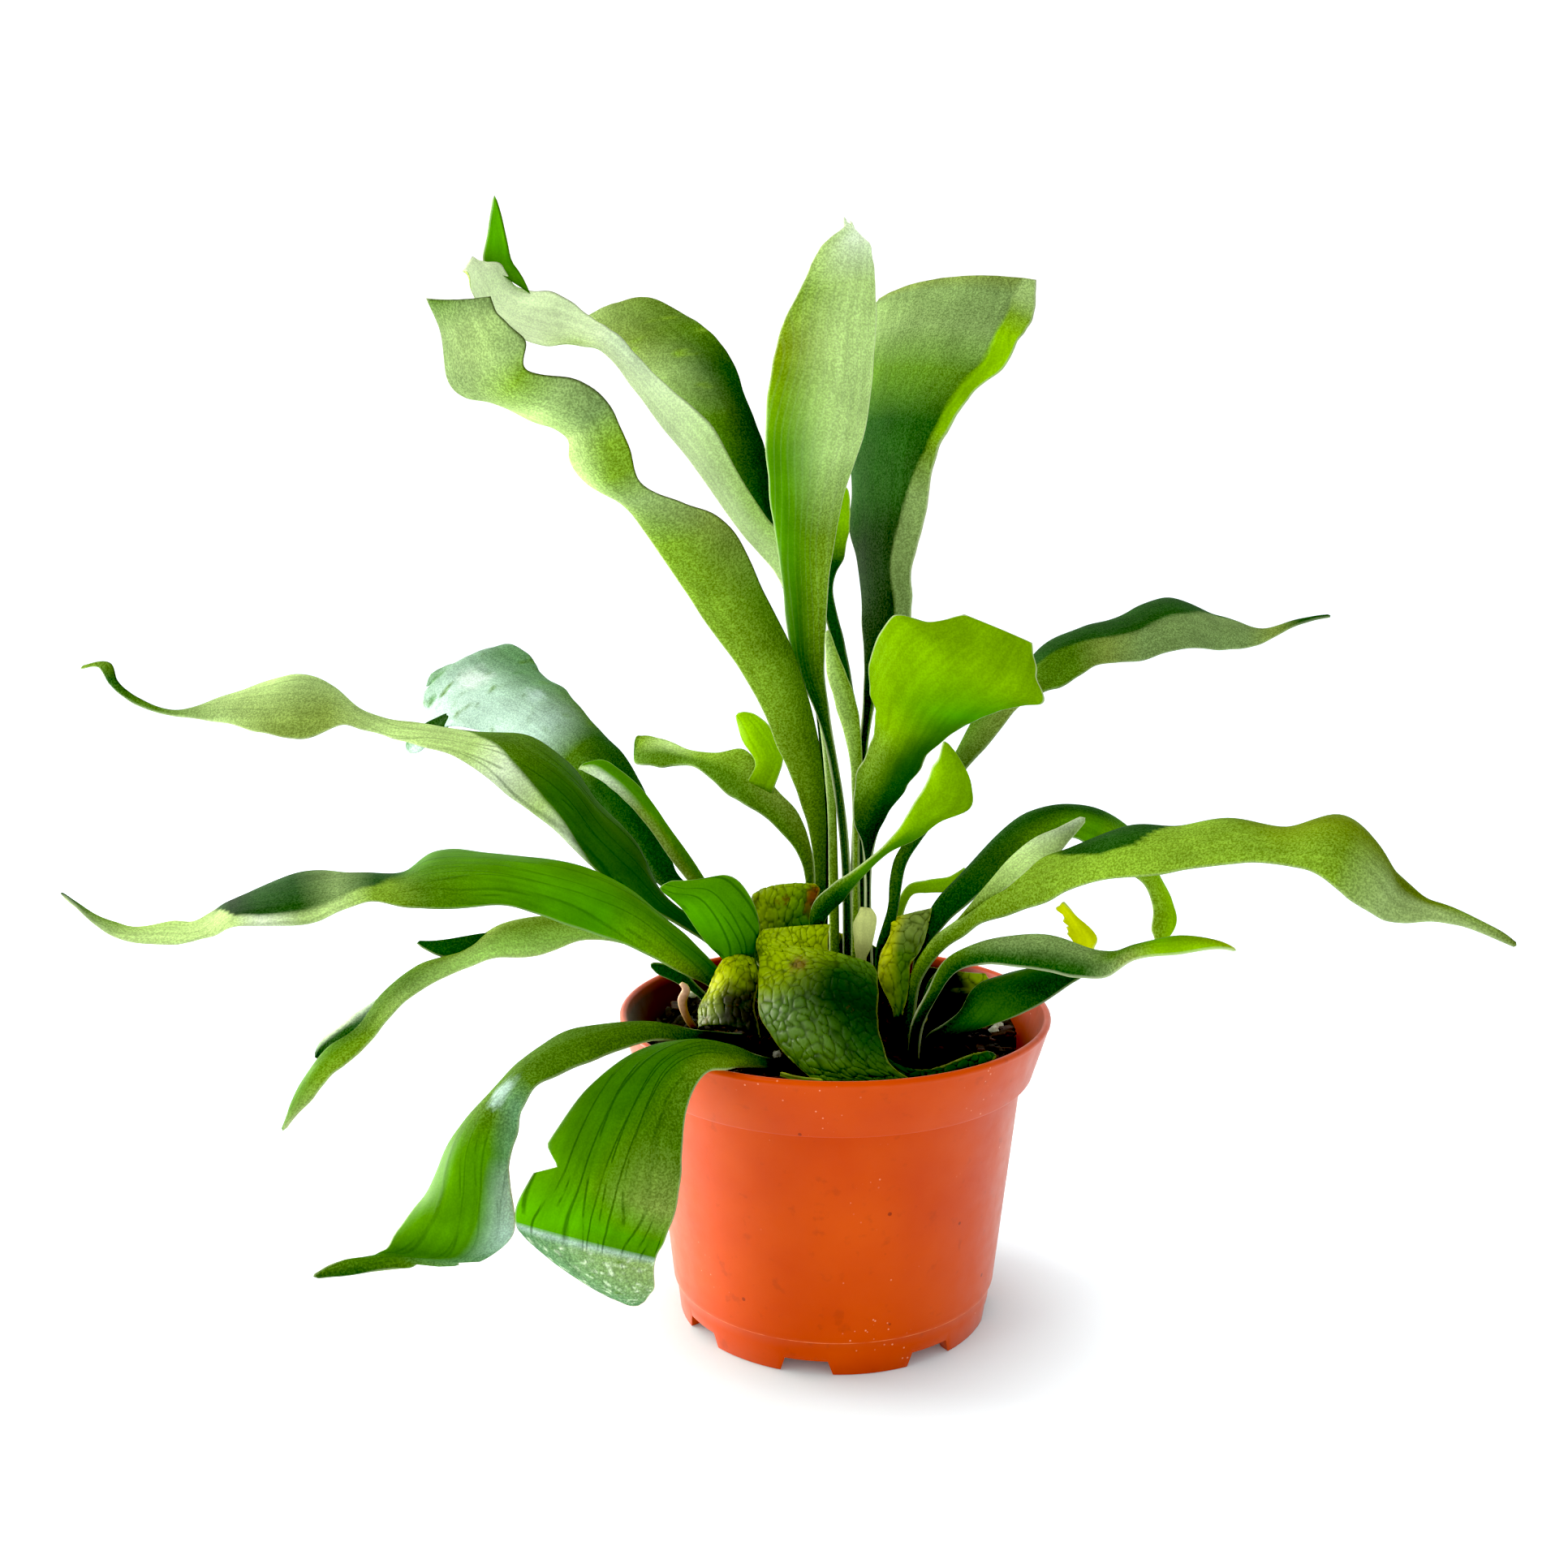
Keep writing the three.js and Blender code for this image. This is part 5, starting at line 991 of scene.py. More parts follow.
blade = {
    "thickness": 0.9,
    "lobeThickness": 0.8,
    "stalkThickness": 2.3,
    "stalkWidth": 3.2,
    "stalkPart": 0.3,  # share of a frond's length over which its stalk flattens
    "endLength": 1.2,  # over which the two skins meet at either end
    "columns": 30,  # faces across one side
    "rowSpacing": 1.5,
    "fewestRows": 12,
    "crowding": 0.4,  # how much closer together the columns are near the margins
    "waveLength": 34,
    "waveHeight": 0.9,
    "fullWaveWidth": 14,
    "fullReliefWidth": 8,  # a narrower blade has less of the relief below
    "ruffleLength": 9,  # small ruffles along the margins
    "ruffleHeight": 0.7,
    "wanderLength": 7,  # how the margin strays from a smooth line
    "wanderReach": 0.35,
    "ribAcross": 2.6,  # low lengthwise ribs over the veins
    "ribAlong": 60,
    "ribHeight": 0.14,
    "dimple": 16,
    "dimpleHeight": 0.5,
    "creaseEase": 0.06,  # share of the length over which a crease starts, and over which it ends
    "creaseSharpness": 1.5,
    "netHeight": 0.4,
    "netLine": 0.22,  # width of the net's veins, as a share of a cell
    "tipRound": 0.9,  # length of the rounded tip, as a share of the last row's width
    "wideTip": 7,  # a tip wider than this isn't rounded
    "mostTipRound": 0.2,  # of the blade's length
    "spikePart": 0.03,  # share of the length that a spiked tip is drawn out over
    "blotRagged": 0.35,
    "blotSoftness": 0.9,
    "mottleContrast": 1.4,
    "mottleEase": 0.02,
    "rimSlant": 1.5,  # how much narrower the rim is at the tip
    "back": [(0, "felt", "felt")],
    "rims": (0.35, 0.35),
    "veins": 0.15,
    "shade": [(0, 0.5), (0.25, 0.85), (0.45, 1)],  # painted shade: blades are darkened towards the crown, where the fronds shade one another
}
notOnLobes = ("spikes", "crease", "nicks", "blots", "mottle", "folds")


def smoothCurve(points):
    # Centripetal curve through the points. What it returns takes an array of places from 0 to 1.
    spots = np.array(points, float)
    line = np.vstack([2 * spots[0] - spots[1], spots, 2 * spots[-1] - spots[-2]])

    def at(shares):
        walked = np.clip(shares, 0, 1) * (len(spots) - 1)
        i = np.minimum(walked.astype(int), len(spots) - 2)
        w = (walked - i)[:, None]
        p0, p1, p2, p3 = (line[i + k] for k in range(4))
        d0, d1, d2 = (
            np.linalg.norm(b - a, axis=1)[:, None] ** 0.5 for a, b in ((p0, p1), (p1, p2), (p2, p3)))
        d1 = np.where(d1 < 1e-4, 1, d1)
        d0 = np.where(d0 < 1e-4, d1, d0)
        d2 = np.where(d2 < 1e-4, d1, d2)
        t1 = ((p1 - p0) / d0 - (p2 - p0) / (d0 + d1) + (p2 - p1) / d1) * d1
        t2 = ((p2 - p1) / d1 - (p3 - p1) / (d1 + d2) + (p3 - p2) / d2) * d1
        return p1 + t1 * w + (3 * (p2 - p1) - 2 * t1 - t2) * w ** 2 + (2 * (p1 - p2) + t1 + t2) * w ** 3

    return at


def unit(vectors):
    return vectors / np.maximum(np.linalg.norm(vectors, axis=-1, keepdims=True), 1e-9)


def ease01(values):
    values = np.clip(values, 0, 1)
    return values * values * (3 - 2 * values)


def nearness(distance, reach):  # 1 at the spot, 0 from its reach on
    return np.clip(1 - np.abs(distance) / reach, 0, 1)


def noiseOver(a, b, c=0.0):  # smooth noise, about -1 to 1, over arrays of places
    a, b, c = np.broadcast_arrays(a, b, c)
    values = [noise.noise(p) for p in zip(a.ravel().tolist(), b.ravel().tolist(), c.ravel().tolist())]
    return np.array(values).reshape(a.shape)


class Surface:
    # A blade's middle surface over s, from stalk to tip, and u, from its left margin to its right
    def __init__(self, rows):
        rows = np.array(rows, float)
        self.left = smoothCurve(rows[:, 0:3])
        self.right = smoothCurve(rows[:, 3:6])
        self.midrib = smoothCurve((rows[:, 0:3] + rows[:, 3:6]) / 2)
        self.bulge = smoothCurve(np.column_stack([np.arange(len(rows)), np.zeros(len(rows)), rows[:, 6]]))
        steps = self.midrib(np.linspace(0, 1, 201))
        self.length = np.linalg.norm(np.diff(steps, axis=0), axis=1).sum()

    def width(self, s):
        return np.linalg.norm(self.right(s) - self.left(s), axis=1)

    def frame(self, s):
        across = self.right(s) - self.left(s)
        growth = self.midrib(s + 0.01) - self.midrib(s - 0.01)
        return self.left(s), across, unit(np.cross(across, growth)), unit(growth)

    def points(self, s, u):
        start, across, out, _ = self.frame(s)
        m = 2 * u - 1
        width = np.linalg.norm(across, axis=1)[:, None]
        share = np.minimum(1, width / blade["fullWaveWidth"]) * m * np.abs(m)
        turns = 2 * math.pi * s * self.length / blade["waveLength"]
        wave = blade["waveHeight"] * share * np.sin(turns)[:, None]
        lift = self.bulge(s)[:, 2:3] * (1 - m ** 2) + wave
        return start[:, None] + across[:, None] * u[:, :, None] + out[:, None] * lift[:, :, None]


def layGrid(surface, look, seed):
    # A blade's grid: s and u of every point, where it is in millimetres, and what is trimmed from its outline
    g = SimpleNamespace(columns=look["columns"], length=surface.length)
    g.rows = max(blade["fewestRows"], round(g.length / look["rowSpacing"]))
    g.s = np.linspace(0, 1, g.rows + 1)
    v = np.linspace(0, 1, g.columns + 1)
    crowding = blade["crowding"]
    g.spread = (1 - crowding) * v + crowding * (0.5 - 0.5 * np.cos(math.pi * v))
    g.m = 2 * g.spread[None, :] - 1
    g.along = g.s * g.length
    g.width = surface.width(g.s)
    g.fit = np.minimum(1, g.width / blade["fullReliefWidth"])

    # The tip is rounded, and the margins wander and are nicked
    tipWidth = g.width[-1]
    isRounded = tipWidth < blade["wideTip"] and "spikes" not in look
    roundPart = min(blade["mostTipRound"], blade["tipRound"] * tipWidth / g.length) if isRounded else 0
    beyond = np.clip((g.s - 1 + roundPart) / roundPart, 0, 1) if roundPart > 0 else np.zeros_like(g.s)
    g.flare = np.sqrt(1 - beyond ** 2)
    trims = []
    for side in (0, 1):
        stray = noiseOver(g.along / blade["wanderLength"], seed * 7.3 + side * 31.7)
        trim = blade["wanderReach"] * look.get("wander", 1) * g.fit * (stray + 0.25) / np.maximum(g.width, 1)
        for nickSide, place, depth, breadth in look.get("nicks", ()):
            if nickSide == side:
                trim = trim + depth / g.width * nearness(g.along - place * g.length, breadth)
        trims.append(trim)
    g.low = 0.5 - (0.5 - trims[0]) * g.flare
    g.high = 0.5 + (0.5 - trims[1]) * g.flare
    g.u = g.low[:, None] + (g.high - g.low)[:, None] * g.spread[None, :]
    g.acrossPlace = (g.u - 0.5) * np.sqrt(g.width * float(np.median(g.width)))[:, None]
    g.alongPlace = np.broadcast_to(g.along[:, None], g.u.shape)
    g.net = veinNet(g.acrossPlace, g.alongPlace, look["net"], seed) if "net" in look else None
    return g


def bendMiddle(g, surface, look, seed):
    # The middle surface with its ruffled margins, dimples, low ribs over the veins, folds and spikes
    sideSeed = np.where(g.m < 0, 3.1, 8.9) + seed  # each margin has ruffles of its own
    ruffle = noiseOver(g.alongPlace / blade["ruffleLength"], sideSeed) * np.abs(g.m) ** 3
    dimple = noiseOver(g.alongPlace / blade["dimple"], g.acrossPlace / blade["dimple"], seed * 1.7)
    rib = noiseOver(g.acrossPlace / blade["ribAcross"], g.alongPlace / blade["ribAlong"], seed * 2.9)
    relief = (ruffle * blade["ruffleHeight"] * look.get("ruffle", 1) + dimple * blade["dimpleHeight"]
              + rib * blade["ribHeight"]) * g.fit[:, None] * g.flare[:, None]
    if g.net is not None:
        relief = relief - g.net * blade["netHeight"]
    if "crease" in look:
        relief = relief + creaseLift(look, g.s, g.u)
    for place, height, breadth in look.get("folds", ()):
        fold = ease01(nearness(g.along - place * g.length, breadth)) * g.flare
        relief = relief + height * fold[:, None]
    _, _, out, growth = surface.frame(g.s)
    middle = surface.points(g.s, g.u) + out[:, None] * relief[:, :, None]
    for place, reach, breadth in look.get("spikes", ()):
        pull = ease01((g.s - 1 + blade["spikePart"]) / blade["spikePart"])[:, None]
        spike = pull * reach * nearness(g.spread - place, breadth)
        middle = middle + growth[:, None] * spike[..., None]
    return middle


def creaseLift(look, s, u):
    # A fold along the line where the tone of the left part meets that of the right part
    _, _, _, line, _ = zip(*fullStops(look["front"]))
    line = np.clip(np.interp(s, [stop[0] for stop in look["front"]], line)[:, None], 0.03, 0.97)
    start, end, height = look["crease"]
    strength = ease01((s - start) / blade["creaseEase"]) * ease01((end - s) / blade["creaseEase"])
    tent = np.where(u < line, u / line, (1 - u) / (1 - line))
    return height * strength[:, None] * np.clip(tent, 0, 1) ** blade["creaseSharpness"]


def twoSkins(g, middle, look, isLobe, hasStalk):
    # The front and the back about the middle, which meet at the margins and at both ends
    normal = unit(np.cross(np.gradient(middle, axis=1), np.gradient(middle, axis=0)))
    if g.flare[-1] < 0.01:
        normal[-1] = normal[-2]
    stalkShare = np.clip(1 - g.s / blade["stalkPart"], 0, 1) if hasStalk else np.zeros_like(g.s)
    thin = blade["lobeThickness"] if isLobe else look["thickness"]
    thick = thin + (blade["stalkThickness"] - thin) * stalkShare
    power = 2 + 4 * (1 - stalkShare)  # a stalk is round, and a blade is flat up to its margins
    profile = np.sqrt(np.clip(1 - np.abs(g.m) ** power[:, None], 0, 1))
    fromEnd = np.clip(np.minimum(g.along, g.length - g.along) / blade["endLength"], 0, 1)
    ends = np.sqrt(np.clip(1 - (1 - fromEnd) ** 2, 0, 1))
    half = (thick * ends)[:, None] / 2 * profile
    return middle + normal * half[..., None], middle - normal * half[..., None]


def veinNet(across, along, cell, seed):
    # 1 on a net of veins, 0 inside its cells
    values = []
    for a, b in zip((across / cell).ravel().tolist(), (along / cell / 1.3).ravel().tolist()):
        wobble = noise.noise((a * 0.8, b * 0.8, seed)) * 0.5
        distances = noise.voronoi((a + wobble, b - wobble, seed * 3.0))[0]
        values.append(distances[1] - distances[0])
    return ease01(1 - np.array(values).reshape(across.shape) / blade["netLine"])


def toneOf(name):
    return np.array([*colour(tones[name][0])[:3], tones[name][1]])


def fullStops(stops):
    # Each stop is how far along it is, the tone at the left margin and at the right margin, and where it is
    # given, where between the margins one changes into the other and how soft the change is.
    return [tuple(stop) + (0.5, 1.0)[len(stop) - 3:] for stop in stops]


def toneGrid(stops, s, u):
    places, left, right, splits, softness = zip(*fullStops(stops))

    def over(values):
        return np.interp(s, places, values)

    leftTone, rightTone = (
        np.column_stack([over(channel) for channel in zip(*map(toneOf, side))]) for side in (left, right))
    share = ease01((u - over(splits)[:, None]) / over(softness)[:, None] + 0.5)[..., None]
    return leftTone[:, None] * (1 - share) + rightTone[:, None] * share


def blotShare(g, blot):
    # A ragged spot at s and u, with its reach along and across in millimetres
    place, side, reach, breadth, _ = blot
    along = (g.s[:, None] - place) * g.length / reach
    across = (g.u - side) * g.width[:, None] / breadth
    ragged = blade["blotRagged"] * noiseOver(along * 2.3, across * 2.3, place * 9)
    finer = 0.2 * noiseOver(along * 6, across * 6, 4.4)
    return ease01((1.2 - np.hypot(along, across) + ragged + finer) / blade["blotSoftness"])


def mottleShare(g, mottle, seed):
    # Clouds of another tone between two places along the blade
    _, reach, amount, start, end = mottle
    cloud = noiseOver(g.alongPlace / reach, g.acrossPlace / reach, seed * 3.3 + reach)
    finer = noiseOver(g.alongPlace / reach * 2.7, g.acrossPlace / reach * 2.7, seed + reach)
    within = ease01((g.s - start) / blade["mottleEase"]) * ease01((end - g.s) / blade["mottleEase"])
    return ease01((cloud + 0.5 * finer) * blade["mottleContrast"] + amount) * within[:, None]


def paintSheet(g, look, seed):
    # What the materials read at every point of the grid
    front, back = (toneGrid(look[side], g.s, g.u) for side in ("front", "back"))
    marks = [(blot[4], blotShare(g, blot)) for blot in look.get("blots", ())]
    marks += [(mottle[0], mottleShare(g, mottle, seed)) for mottle in look.get("mottle", ())]
    for tone, share in marks:
        front = front * (1 - share[..., None]) + toneOf(tone) * share[..., None]
    for grid in (front, back):
        grid[..., :3] *= np.interp(g.s, *zip(*look["shade"]))[:, None, None]
    vein = g.net
    if vein is None:  # a thick felt hides the veins, but for the pale ones
        hiding = 1 if look["veins"] < 0 else ease01((0.75 - front[..., 3]) / 0.4)
        vein = np.broadcast_to(look["veins"] * hiding, g.u.shape)
    rim = np.minimum(g.u - g.low[:, None], g.high[:, None] - g.u) * g.width[:, None]
    rim = np.minimum(rim, (g.length - g.along)[:, None] * blade["rimSlant"])
    rimKind = np.broadcast_to(np.where(g.m < 0, *look["rims"]), g.u.shape)
    return {"toneFront": front, "toneBack": back, "vein": vein, "rim": rim, "rimKind": rimKind}


def growSheet(bm, layers, surface, look, seed, isLobe=False, hasStalk=False):
    look = {**blade, **look}
    g = layGrid(surface, look, seed)
    middle = bendMiddle(g, surface, look, seed)
    front, back = twoSkins(g, middle, look, isLobe, hasStalk)
    paint = paintSheet(g, look, seed)

    # The mesh's grid runs over the front from left to right, and back over the other side
    made = bmesh.ops.create_grid(bm, x_segments=2 * g.columns, y_segments=g.rows, size=1)["verts"]
    cells = {}
    for vert in made:
        i, k = round((vert.co.y + 1) / 2 * g.rows), round((vert.co.x + 1) * g.columns)
        cells[vert] = (i, min(k, 2 * g.columns - k), k <= g.columns)
    for face in {face for vert in made for face in vert.link_faces}:
        face.material_index = int(face.calc_center_median().x > 0)
        face.smooth = True
        for loop in face.loops:
            i, j, _ = cells[loop.vert]
            loop[layers["uv"]].uv = (g.acrossPlace[i, j], g.along[i])
    for vert, (i, j, isFront) in cells.items():
        vert.co = (front if isFront else back)[i, j] * mm
        for name, values in paint.items():
            vert[layers[name]] = values[i, j]
    bmesh.ops.remove_doubles(bm, verts=made, dist=1e-6)


def growBlade(name, spec, seed, materials, nodes):
    rows = [list(row) for row in spec["rows"]]
    if "base" in spec:  # the stalk's foot, as far across as the first row turns it
        first, base = np.array(rows[0][:6], float), np.array(spec["base"], float)
        half = unit(first[3:] - first[:3]) * blade["stalkWidth"] / 2
        rows.insert(0, [*(base - half), *(base + half), 0])
    surface = Surface(rows)
    bm = bmesh.new()
    layers = {tone: bm.verts.layers.float_color.new(tone) for tone in ("toneFront", "toneBack")}
    layers.update({value: bm.verts.layers.float.new(value) for value in ("vein", "rim", "rimKind")})
    layers["uv"] = bm.loops.layers.uv.new("blade")
    growSheet(bm, layers, surface, spec, seed, hasStalk="base" in spec)
    shared = {key: value for key, value in spec.items() if key not in notOnLobes}
    for index, lobe in enumerate(spec.get("lobes", ())):
        leftS, leftU, rightS, rightU = lobe["root"]
        ends = ((leftS, leftU), (rightS, rightU))
        root = [surface.points(np.array([s]), np.array([[u]]))[0, 0] for s, u in ends]
        lobeSurface = Surface([[*root[0], *root[1], 0], *lobe["rows"]])
        growSheet(bm, layers, lobeSurface, {**shared, **lobe}, seed + 0.37 + index, isLobe=True)
    bmesh.ops.recalc_face_normals(bm, faces=bm.faces)
    addPiece(name + "_blade", bm, materials, nodes)


for index, (node, spec) in enumerate(fronds.items()):
    growBlade(node, spec, index + 1.5, leafSides, [node])
print("fronds grown:", len(fronds))
for index, (node, spec) in enumerate(shields.items()):
    growBlade(node, spec, index + 40.5, shieldSides, [node])
for index, (name, spec) in enumerate(scraps.items()):
    growBlade(name, spec, index + 61, shieldSides, [])
print("shields grown:", len(shields), "and dry scraps:", len(scraps))


# Pot

pot = {
    "height": 87,
    "rimRadius": 60,
    "rimLip": 2,
    "bandHeight": 16.4,
    "bandBottomRadius": 55.4,
    "bodyTopRadius": 52.4,
    "stepHeight": 9.8,
    "stepRadius": 45.8,
    "footTopRadius": 45,
    "footRadius": 44,
    "wall": 1.4,
    "footRing": 3,
    "floorHeight": 5,
    "padRadius": 15,
    "edgeRound": 0.6,
    "stepRound": (0.3, 0.15),
    "bandRound": (0.3, 0.12),
    "rimDraft": 0.35,
    "footSupport": 0.7,  # where a ring holds the shading of the wall beside it even
    "bodySupport": 0.02,
    "innerSupport": 0.15,
    "segments": 144,
    "lipSegments": 10,
    "notchCount": 8,
    "notchHeight": 3.9,
    "notchAngle": 15,
    "notchFlare": 1.45,  # a notch is this much wider at the floor
    "notchDepth": 6,
    "firstNotch": -99,
    "drainRadius": 4,
    "drainCircle": 31,
    "bevel": 0.22,
    "sharpAngle": 50,  # sharper edges are bevelled
    "smoothAngle": 35,  # flatter ones are shaded smooth
    "wallShadeTop": 1.5,  # below the rim, over which the painted shade of the inner wall sets in
    "cleanFrom": 40,  # to the right of this the light reaches the wall, and the painted shade fades
    "litFade": 10,
    "wallShadeWhereLit": 0.2,
}
potPlastic = potMaterial(pot["stepHeight"])


def turned(bm, profile, segments):
    # A closed ring of a wall, or a solid whose profile starts and ends on the axis
    verts = [bm.verts.new((r * mm, 0, z * mm)) for r, z in profile]
    edges = [bm.edges.new(pair) for pair in zip(verts, verts[1:])]
    bmesh.ops.spin(bm, geom=verts + edges, cent=(0, 0, 0), axis=(0, 0, 1), angle=2 * math.pi,
                   steps=segments, use_merge=True)
    bmesh.ops.remove_doubles(bm, verts=bm.verts, dist=1e-6)
    bmesh.ops.recalc_face_normals(bm, faces=bm.faces)


def arc(centre, radius, fromAngle, toAngle, steps):
    angles = [math.radians(blend(fromAngle, toAngle, k / steps)) for k in range(steps + 1)]
    return [(centre[0] + radius * math.cos(a), centre[1] + radius * math.sin(a)) for a in angles]


def between(a, b, share):
    return blend(a[0], b[0], share), blend(a[1], b[1], share)


def potProfile():
    p = pot
    top, lip, edge, wall = p["height"], p["rimLip"], p["edgeRound"], p["wall"]
    bandBottom = top - p["bandHeight"]
    footInner = p["footRadius"] - p["footRing"]
    under = p["floorHeight"] - wall
    footTop = (p["footTopRadius"], p["stepHeight"] - edge)
    step = (p["stepRadius"], p["stepHeight"])
    bodyTop = (p["bodyTopRadius"], bandBottom)
    (stepOut, stepDown), (bandIn, bandUp) = p["stepRound"], p["bandRound"]
    lipInside = (p["rimRadius"] - lip, top - lip / 2)
    bandInside = (p["bandBottomRadius"] - wall, bandBottom + wall)
    return [
        (0, 0), (p["padRadius"], 0), (p["padRadius"] + 1, under), (footInner - 1, under), (footInner, 0),
        (p["footRadius"], 0), between((p["footRadius"], 0), footTop, p["footSupport"]), footTop,
        (p["footTopRadius"] + stepOut, p["stepHeight"] - stepDown), step,
        between(step, bodyTop, p["bodySupport"]), bodyTop,
        (p["bandBottomRadius"] - bandIn, bandBottom + bandUp),
        (p["bandBottomRadius"], bandBottom + edge), (p["rimRadius"] - p["rimDraft"], top - lip),
        *arc((p["rimRadius"] - lip / 2, top - lip / 2), lip / 2, -40, 180, p["lipSegments"]),
        between(lipInside, bandInside, p["innerSupport"]), bandInside,
        (p["bodyTopRadius"] - wall, bandBottom - wall), (p["stepRadius"] - wall, p["stepHeight"]),
        (p["footTopRadius"] - 2 * wall, p["floorHeight"]), (0, p["floorHeight"]),
    ]


def potCutter():
    # Notches in the foot, wider at the floor, and a drain hole behind each of them
    p = pot
    bm = bmesh.new()
    notchWidth = 2 * p["footRadius"] * math.sin(math.radians(p["notchAngle"] / 2))
    size = Matrix.Diagonal((2 * p["notchDepth"] * mm, notchWidth * mm, 2 * p["notchHeight"] * mm, 1))
    for k in range(p["notchCount"]):
        turn = Matrix.Rotation(math.radians(p["firstNotch"] + 360 * k / p["notchCount"]), 4, "Z")
        notch = bmesh.ops.create_cube(bm, size=1)["verts"]
        low = [vert for vert in notch if vert.co.z < 0]
        bmesh.ops.scale(bm, verts=low, vec=(1, p["notchFlare"], 1))
        seat = turn @ Matrix.Translation((p["footRadius"] * mm, 0, 0)) @ size
        bmesh.ops.transform(bm, verts=notch, matrix=seat)
        bmesh.ops.create_cone(
            bm, cap_ends=True, segments=32, radius1=p["drainRadius"] * mm, radius2=p["drainRadius"] * mm,
            depth=4 * p["floorHeight"] * mm, matrix=turn @ Matrix.Translation((p["drainCircle"] * mm, 0, 0)))
    return addObject("potCutter", meshFrom(bm, "potCutter"))


def makePot():
    p = pot
    bm = bmesh.new()
    turned(bm, potProfile(), p["segments"])
    piece = addPiece("moulded_pot", bm, [potPlastic], ["pot"])
    cutter = potCutter()
    applyModifier(piece, "BOOLEAN", object=cutter, operation="DIFFERENCE", solver="EXACT")
    bpy.data.meshes.remove(cutter.data)
    applyModifier(piece, "BEVEL", width=p["bevel"] * mm, segments=2, limit_method="ANGLE",
                  angle_limit=math.radians(p["sharpAngle"]))
    smoothPiece(piece, p["smoothAngle"])

    # Painted shade: the wall's inner face is darkened below the rim, less where the light reaches it on the
    # right
    wallShade = piece.data.attributes.new("wallShade", "FLOAT", "POINT")
    for vert in piece.data.vertices:
        outward = vert.normal.x * vert.co.x + vert.normal.y * vert.co.y
        inside = outward < -0.3 * math.hypot(vert.co.x, vert.co.y) and vert.co.z > 2 * p["floorHeight"] * mm
        clean = ease01((vert.co.x / mm - p["cleanFrom"]) / p["litFade"])
        depth = min(1, (p["height"] * mm - vert.co.z) / (p["wallShadeTop"] * mm))
        wallShade.data[vert.index].value = inside * depth * blend(1, p["wallShadeWhereLit"], clean)


def applyModifier(piece, kind, **settings):
    modifier = piece.modifiers.new(kind.lower(), kind)
    for name, value in settings.items():
        setattr(modifier, name, value)
    depsgraph = bpy.context.evaluated_depsgraph_get()
    mesh = bpy.data.meshes.new_from_object(piece.evaluated_get(depsgraph))
    piece.modifiers.clear()
    old = piece.data
    piece.data = mesh
    bpy.data.meshes.remove(old)
    mesh.name = piece.name


def smoothPiece(piece, angle):
    bm = bmesh.new()
    bm.from_mesh(piece.data)
    limit = math.radians(angle)
    for face in bm.faces:
        face.smooth = True
    for edge in bm.edges:
        edge.smooth = len(edge.link_faces) == 2 and edge.calc_face_angle(0) < limit
    bm.to_mesh(piece.data)
    bm.free()


makePot()
print("pot moulded")


# Soil and what lies on it

soil = {
    "level": 80,
    "lump": 1.1,
    "gap": 0.3,  # to the pot's wall
    "crumbSize": 3.2,
    "crumbHeight": 1.1,
    "segments": 150,
    "ringStep": 1.1,
    "litterFrom": 26,  # radii between which the crumbs, bark and perlite lie
    "litterTo": 49,
}

chipShape = {
    "length": (3, 7),
    "breadth": (2, 4),
    "thickness": (0.8, 1.6),
    "lift": 0.6,
    "tilt": 0.35,
    "bevel": 0.3,
}

grainShapes = {
    "crumb": {"size": (0.5, 1.5), "subdivisions": 1, "lift": 0, "rough": (-0.35, 0.3)},
    "pearl": {"size": (0.7, 1.7), "subdivisions": 2, "lift": 0.4, "rough": (-0.2, 0.12)},
}

litter = {  # more bark and perlite has gathered along the wall at the right
    "peat_crumbs": {"kind": "crumb", "count": 520, "seed": 3},
    "bark_chips": {"kind": "chip", "count": 46, "seed": 5},
    "perlite_grains": {"kind": "pearl", "count": 16, "seed": 7},
    "bark_at_wall": {
        "kind": "chip", "count": 12, "seed": 9, "inner": 42, "outer": 50, "sector": (-12, 40)},
    "perlite_at_wall": {
        "kind": "pearl", "count": 11, "seed": 4, "inner": 43, "outer": 51, "sector": (-5, 35)},
}


def soilHeight(x, y):
    lump = math.sin(0.61 * x + 0.37 * y) + 0.6 * math.sin(0.29 * x - 0.83 * y + 1)  # as the solid's top
    grain = noise.fractal((x / soil["crumbSize"], y / soil["crumbSize"], 3.7), 0.7, 2.1, 4)
    return soil["level"] + soil["lump"] * lump + soil["crumbHeight"] * grain


def makeSoil():
    p = pot
    inset = p["wall"] + soil["gap"]
    topRadius = p["bodyTopRadius"] - inset
    rings = round(topRadius / soil["ringStep"])
    flat = [(topRadius * k / rings, soil["level"]) for k in range(rings, -1, -1)]
    bottom = p["floorHeight"] + soil["gap"]
    profile = [
        (0, bottom), (p["footTopRadius"] - p["wall"] - inset, bottom),
        (p["stepRadius"] - inset, p["stepHeight"]), (topRadius, p["height"] - p["bandHeight"]),
        (topRadius, soil["level"] - 2), *flat]
    bm = bmesh.new()
    turned(bm, profile, soil["segments"])
    for vert in bm.verts:
        if vert.co.z > (soil["level"] - 1) * mm:
            vert.co.z = soilHeight(vert.co.x / mm, vert.co.y / mm) * mm
    for face in bm.faces:
        face.smooth = True
    addPiece("peat", bm, [peat], ["soil"])


def turnedBy(rng, tilt=math.pi):
    turn = Matrix.Rotation(rng.uniform(0, 2 * math.pi), 4, "Z")
    lean = Matrix.Rotation(rng.uniform(-tilt, tilt), 4, "X")
    return turn @ lean @ Matrix.Rotation(rng.uniform(-tilt, tilt), 4, "Y")


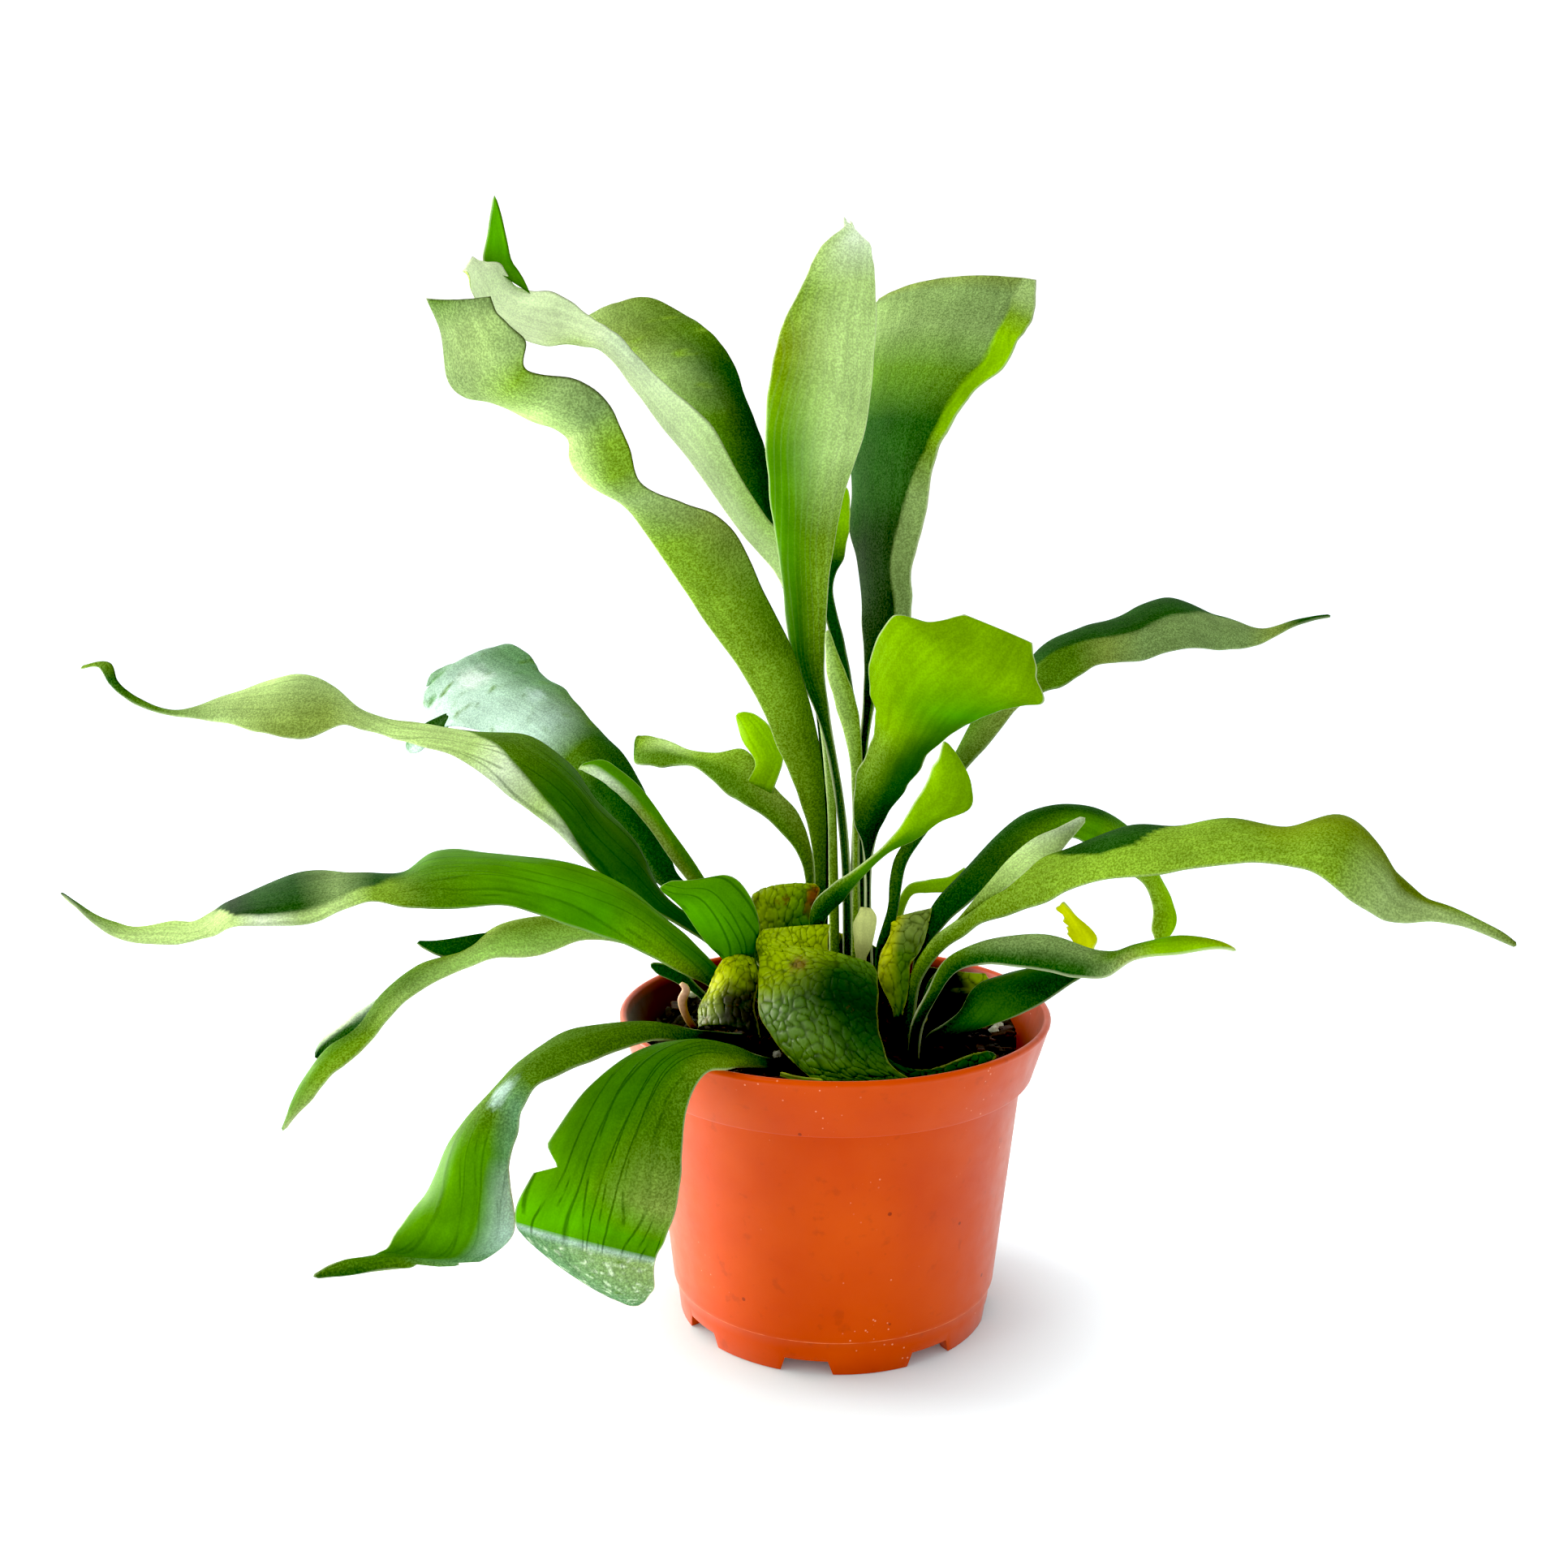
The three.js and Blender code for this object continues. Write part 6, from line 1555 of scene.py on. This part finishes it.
def grain(look, bm, rng, place):
    # A crumb of peat or a pearl of perlite: a small ball with its corners pushed in and out
    size = rng.uniform(*look["size"]) * mm
    seat = Matrix.Translation(place + Vector((0, 0, size * look["lift"])))
    made = bmesh.ops.create_icosphere(
        bm, subdivisions=look["subdivisions"], radius=size, matrix=seat @ turnedBy(rng))
    for vert in made["verts"]:
        vert.co += (vert.co - place) * rng.uniform(*look["rough"])


def chip(look, bm, rng, place):
    sides = [rng.uniform(*look[side]) * mm for side in ("length", "breadth", "thickness")]
    seat = Matrix.Translation(place + Vector((0, 0, look["lift"] * mm)))
    made = bmesh.ops.create_cube(
        bm, size=1, matrix=seat @ turnedBy(rng, look["tilt"]) @ Matrix.Diagonal((*sides, 1)))
    edges = list({edge for vert in made["verts"] for edge in vert.link_edges})
    bmesh.ops.bevel(
        bm, geom=edges, offset=look["bevel"] * mm, affect="EDGES", segments=1, profile=0.5, material=-1)


def scatter(name, kind, count, seed, inner=soil["litterFrom"], outer=soil["litterTo"], sector=(0, 360)):
    shapeOne, material = {
        "crumb": (partial(grain, grainShapes["crumb"]), peat),
        "chip": (partial(chip, chipShape), barkChip),
        "pearl": (partial(grain, grainShapes["pearl"]), perlite),
    }[kind]
    rng = random.Random(seed)
    bm = bmesh.new()
    for _ in range(count):
        turn = math.radians(rng.uniform(*sector))
        reach = math.sqrt(rng.uniform(inner ** 2, outer ** 2))
        x, y = reach * math.cos(turn), reach * math.sin(turn)
        shapeOne(bm, rng, Vector((x, y, soilHeight(x, y))) * mm)
    for face in bm.faces:
        face.smooth = False
    bmesh.ops.recalc_face_normals(bm, faces=bm.faces)
    addPiece(name, bm, [material], [])


makeSoil()
for name, look in litter.items():
    scatter(name, **look)


# Rhizome

rhizome = {
    "centre": (-1, -2, 69),
    "radii": (32.5, 29.5, 27.5),
    "bump": 0.05,
    "bumpDetail": 3.2,
    "shrink": 0.02,
    "scales": 900,
    "scaleHeights": (0.35, 0.98),  # of the mound's height over its centre
    "scaleLength": 4.2,
    "scaleWidth": 1.3,
    "scaleTip": 0.1,
    "scaleSizes": (0.6, 1.2),
    "scaleStand": (0.3, 1.0),  # how far a scale stands up from the mound
    "scaleFlatness": 0.35,
    "scaleRise": 0.35,  # of its length, to the middle of a scale
    "seed": 11,
}


def onMound(ray, lump=1):
    return Vector([(ray[k] * lump * rhizome["radii"][k] + rhizome["centre"][k]) * mm for k in range(3)])


def makeMound():
    bm = bmesh.new()
    bmesh.ops.create_icosphere(bm, subdivisions=6, radius=1)
    for vert in bm.verts:
        bump = noise.fractal(vert.co * rhizome["bumpDetail"], 0.8, 2.0, 4)
        lump = 1 + rhizome["bump"] * bump - rhizome["shrink"]
        vert.co = onMound(vert.co.copy(), lump)
    for face in bm.faces:
        face.smooth = True
    bmesh.ops.recalc_face_normals(bm, faces=bm.faces)
    addPiece("rhizome_mound", bm, [peat], ["rhizome"])


def makeScaleHairs():
    r = rhizome
    rng = random.Random(r["seed"])
    bm = bmesh.new()
    for _ in range(r["scales"]):
        turn, height = rng.uniform(0, 2 * math.pi), rng.uniform(*r["scaleHeights"])
        flat = math.sqrt(1 - height ** 2)
        ray = Vector((flat * math.cos(turn), flat * math.sin(turn), height))
        outward = Vector([ray[k] / r["radii"][k] for k in range(3)]).normalized()
        rise = outward * rng.uniform(*r["scaleStand"])
        stray = Vector((rng.uniform(-1, 1), rng.uniform(-1, 1), rng.uniform(-0.6, 0.6)))
        growth = (rise + stray).normalized()
        side = growth.cross(outward).normalized()
        size = rng.uniform(*r["scaleSizes"]) * mm
        made = bmesh.ops.create_cone(
            bm, cap_ends=True, segments=5, radius1=r["scaleWidth"] / 2 * size, radius2=r["scaleTip"] / 2 * mm,
            depth=r["scaleLength"] * size)
        thin = side.cross(growth).normalized() * r["scaleFlatness"]
        basis = Matrix((side, thin, growth)).transposed().to_4x4()
        seat = Matrix.Translation(onMound(ray) + growth * r["scaleLength"] * r["scaleRise"] * size)
        bmesh.ops.transform(bm, matrix=seat @ basis, verts=made["verts"])
    bmesh.ops.recalc_face_normals(bm, faces=bm.faces)
    addPiece("rhizome_scale_hairs", bm, [scaleHairs], [])


makeMound()
makeScaleHairs()
print("soil and rhizome laid")
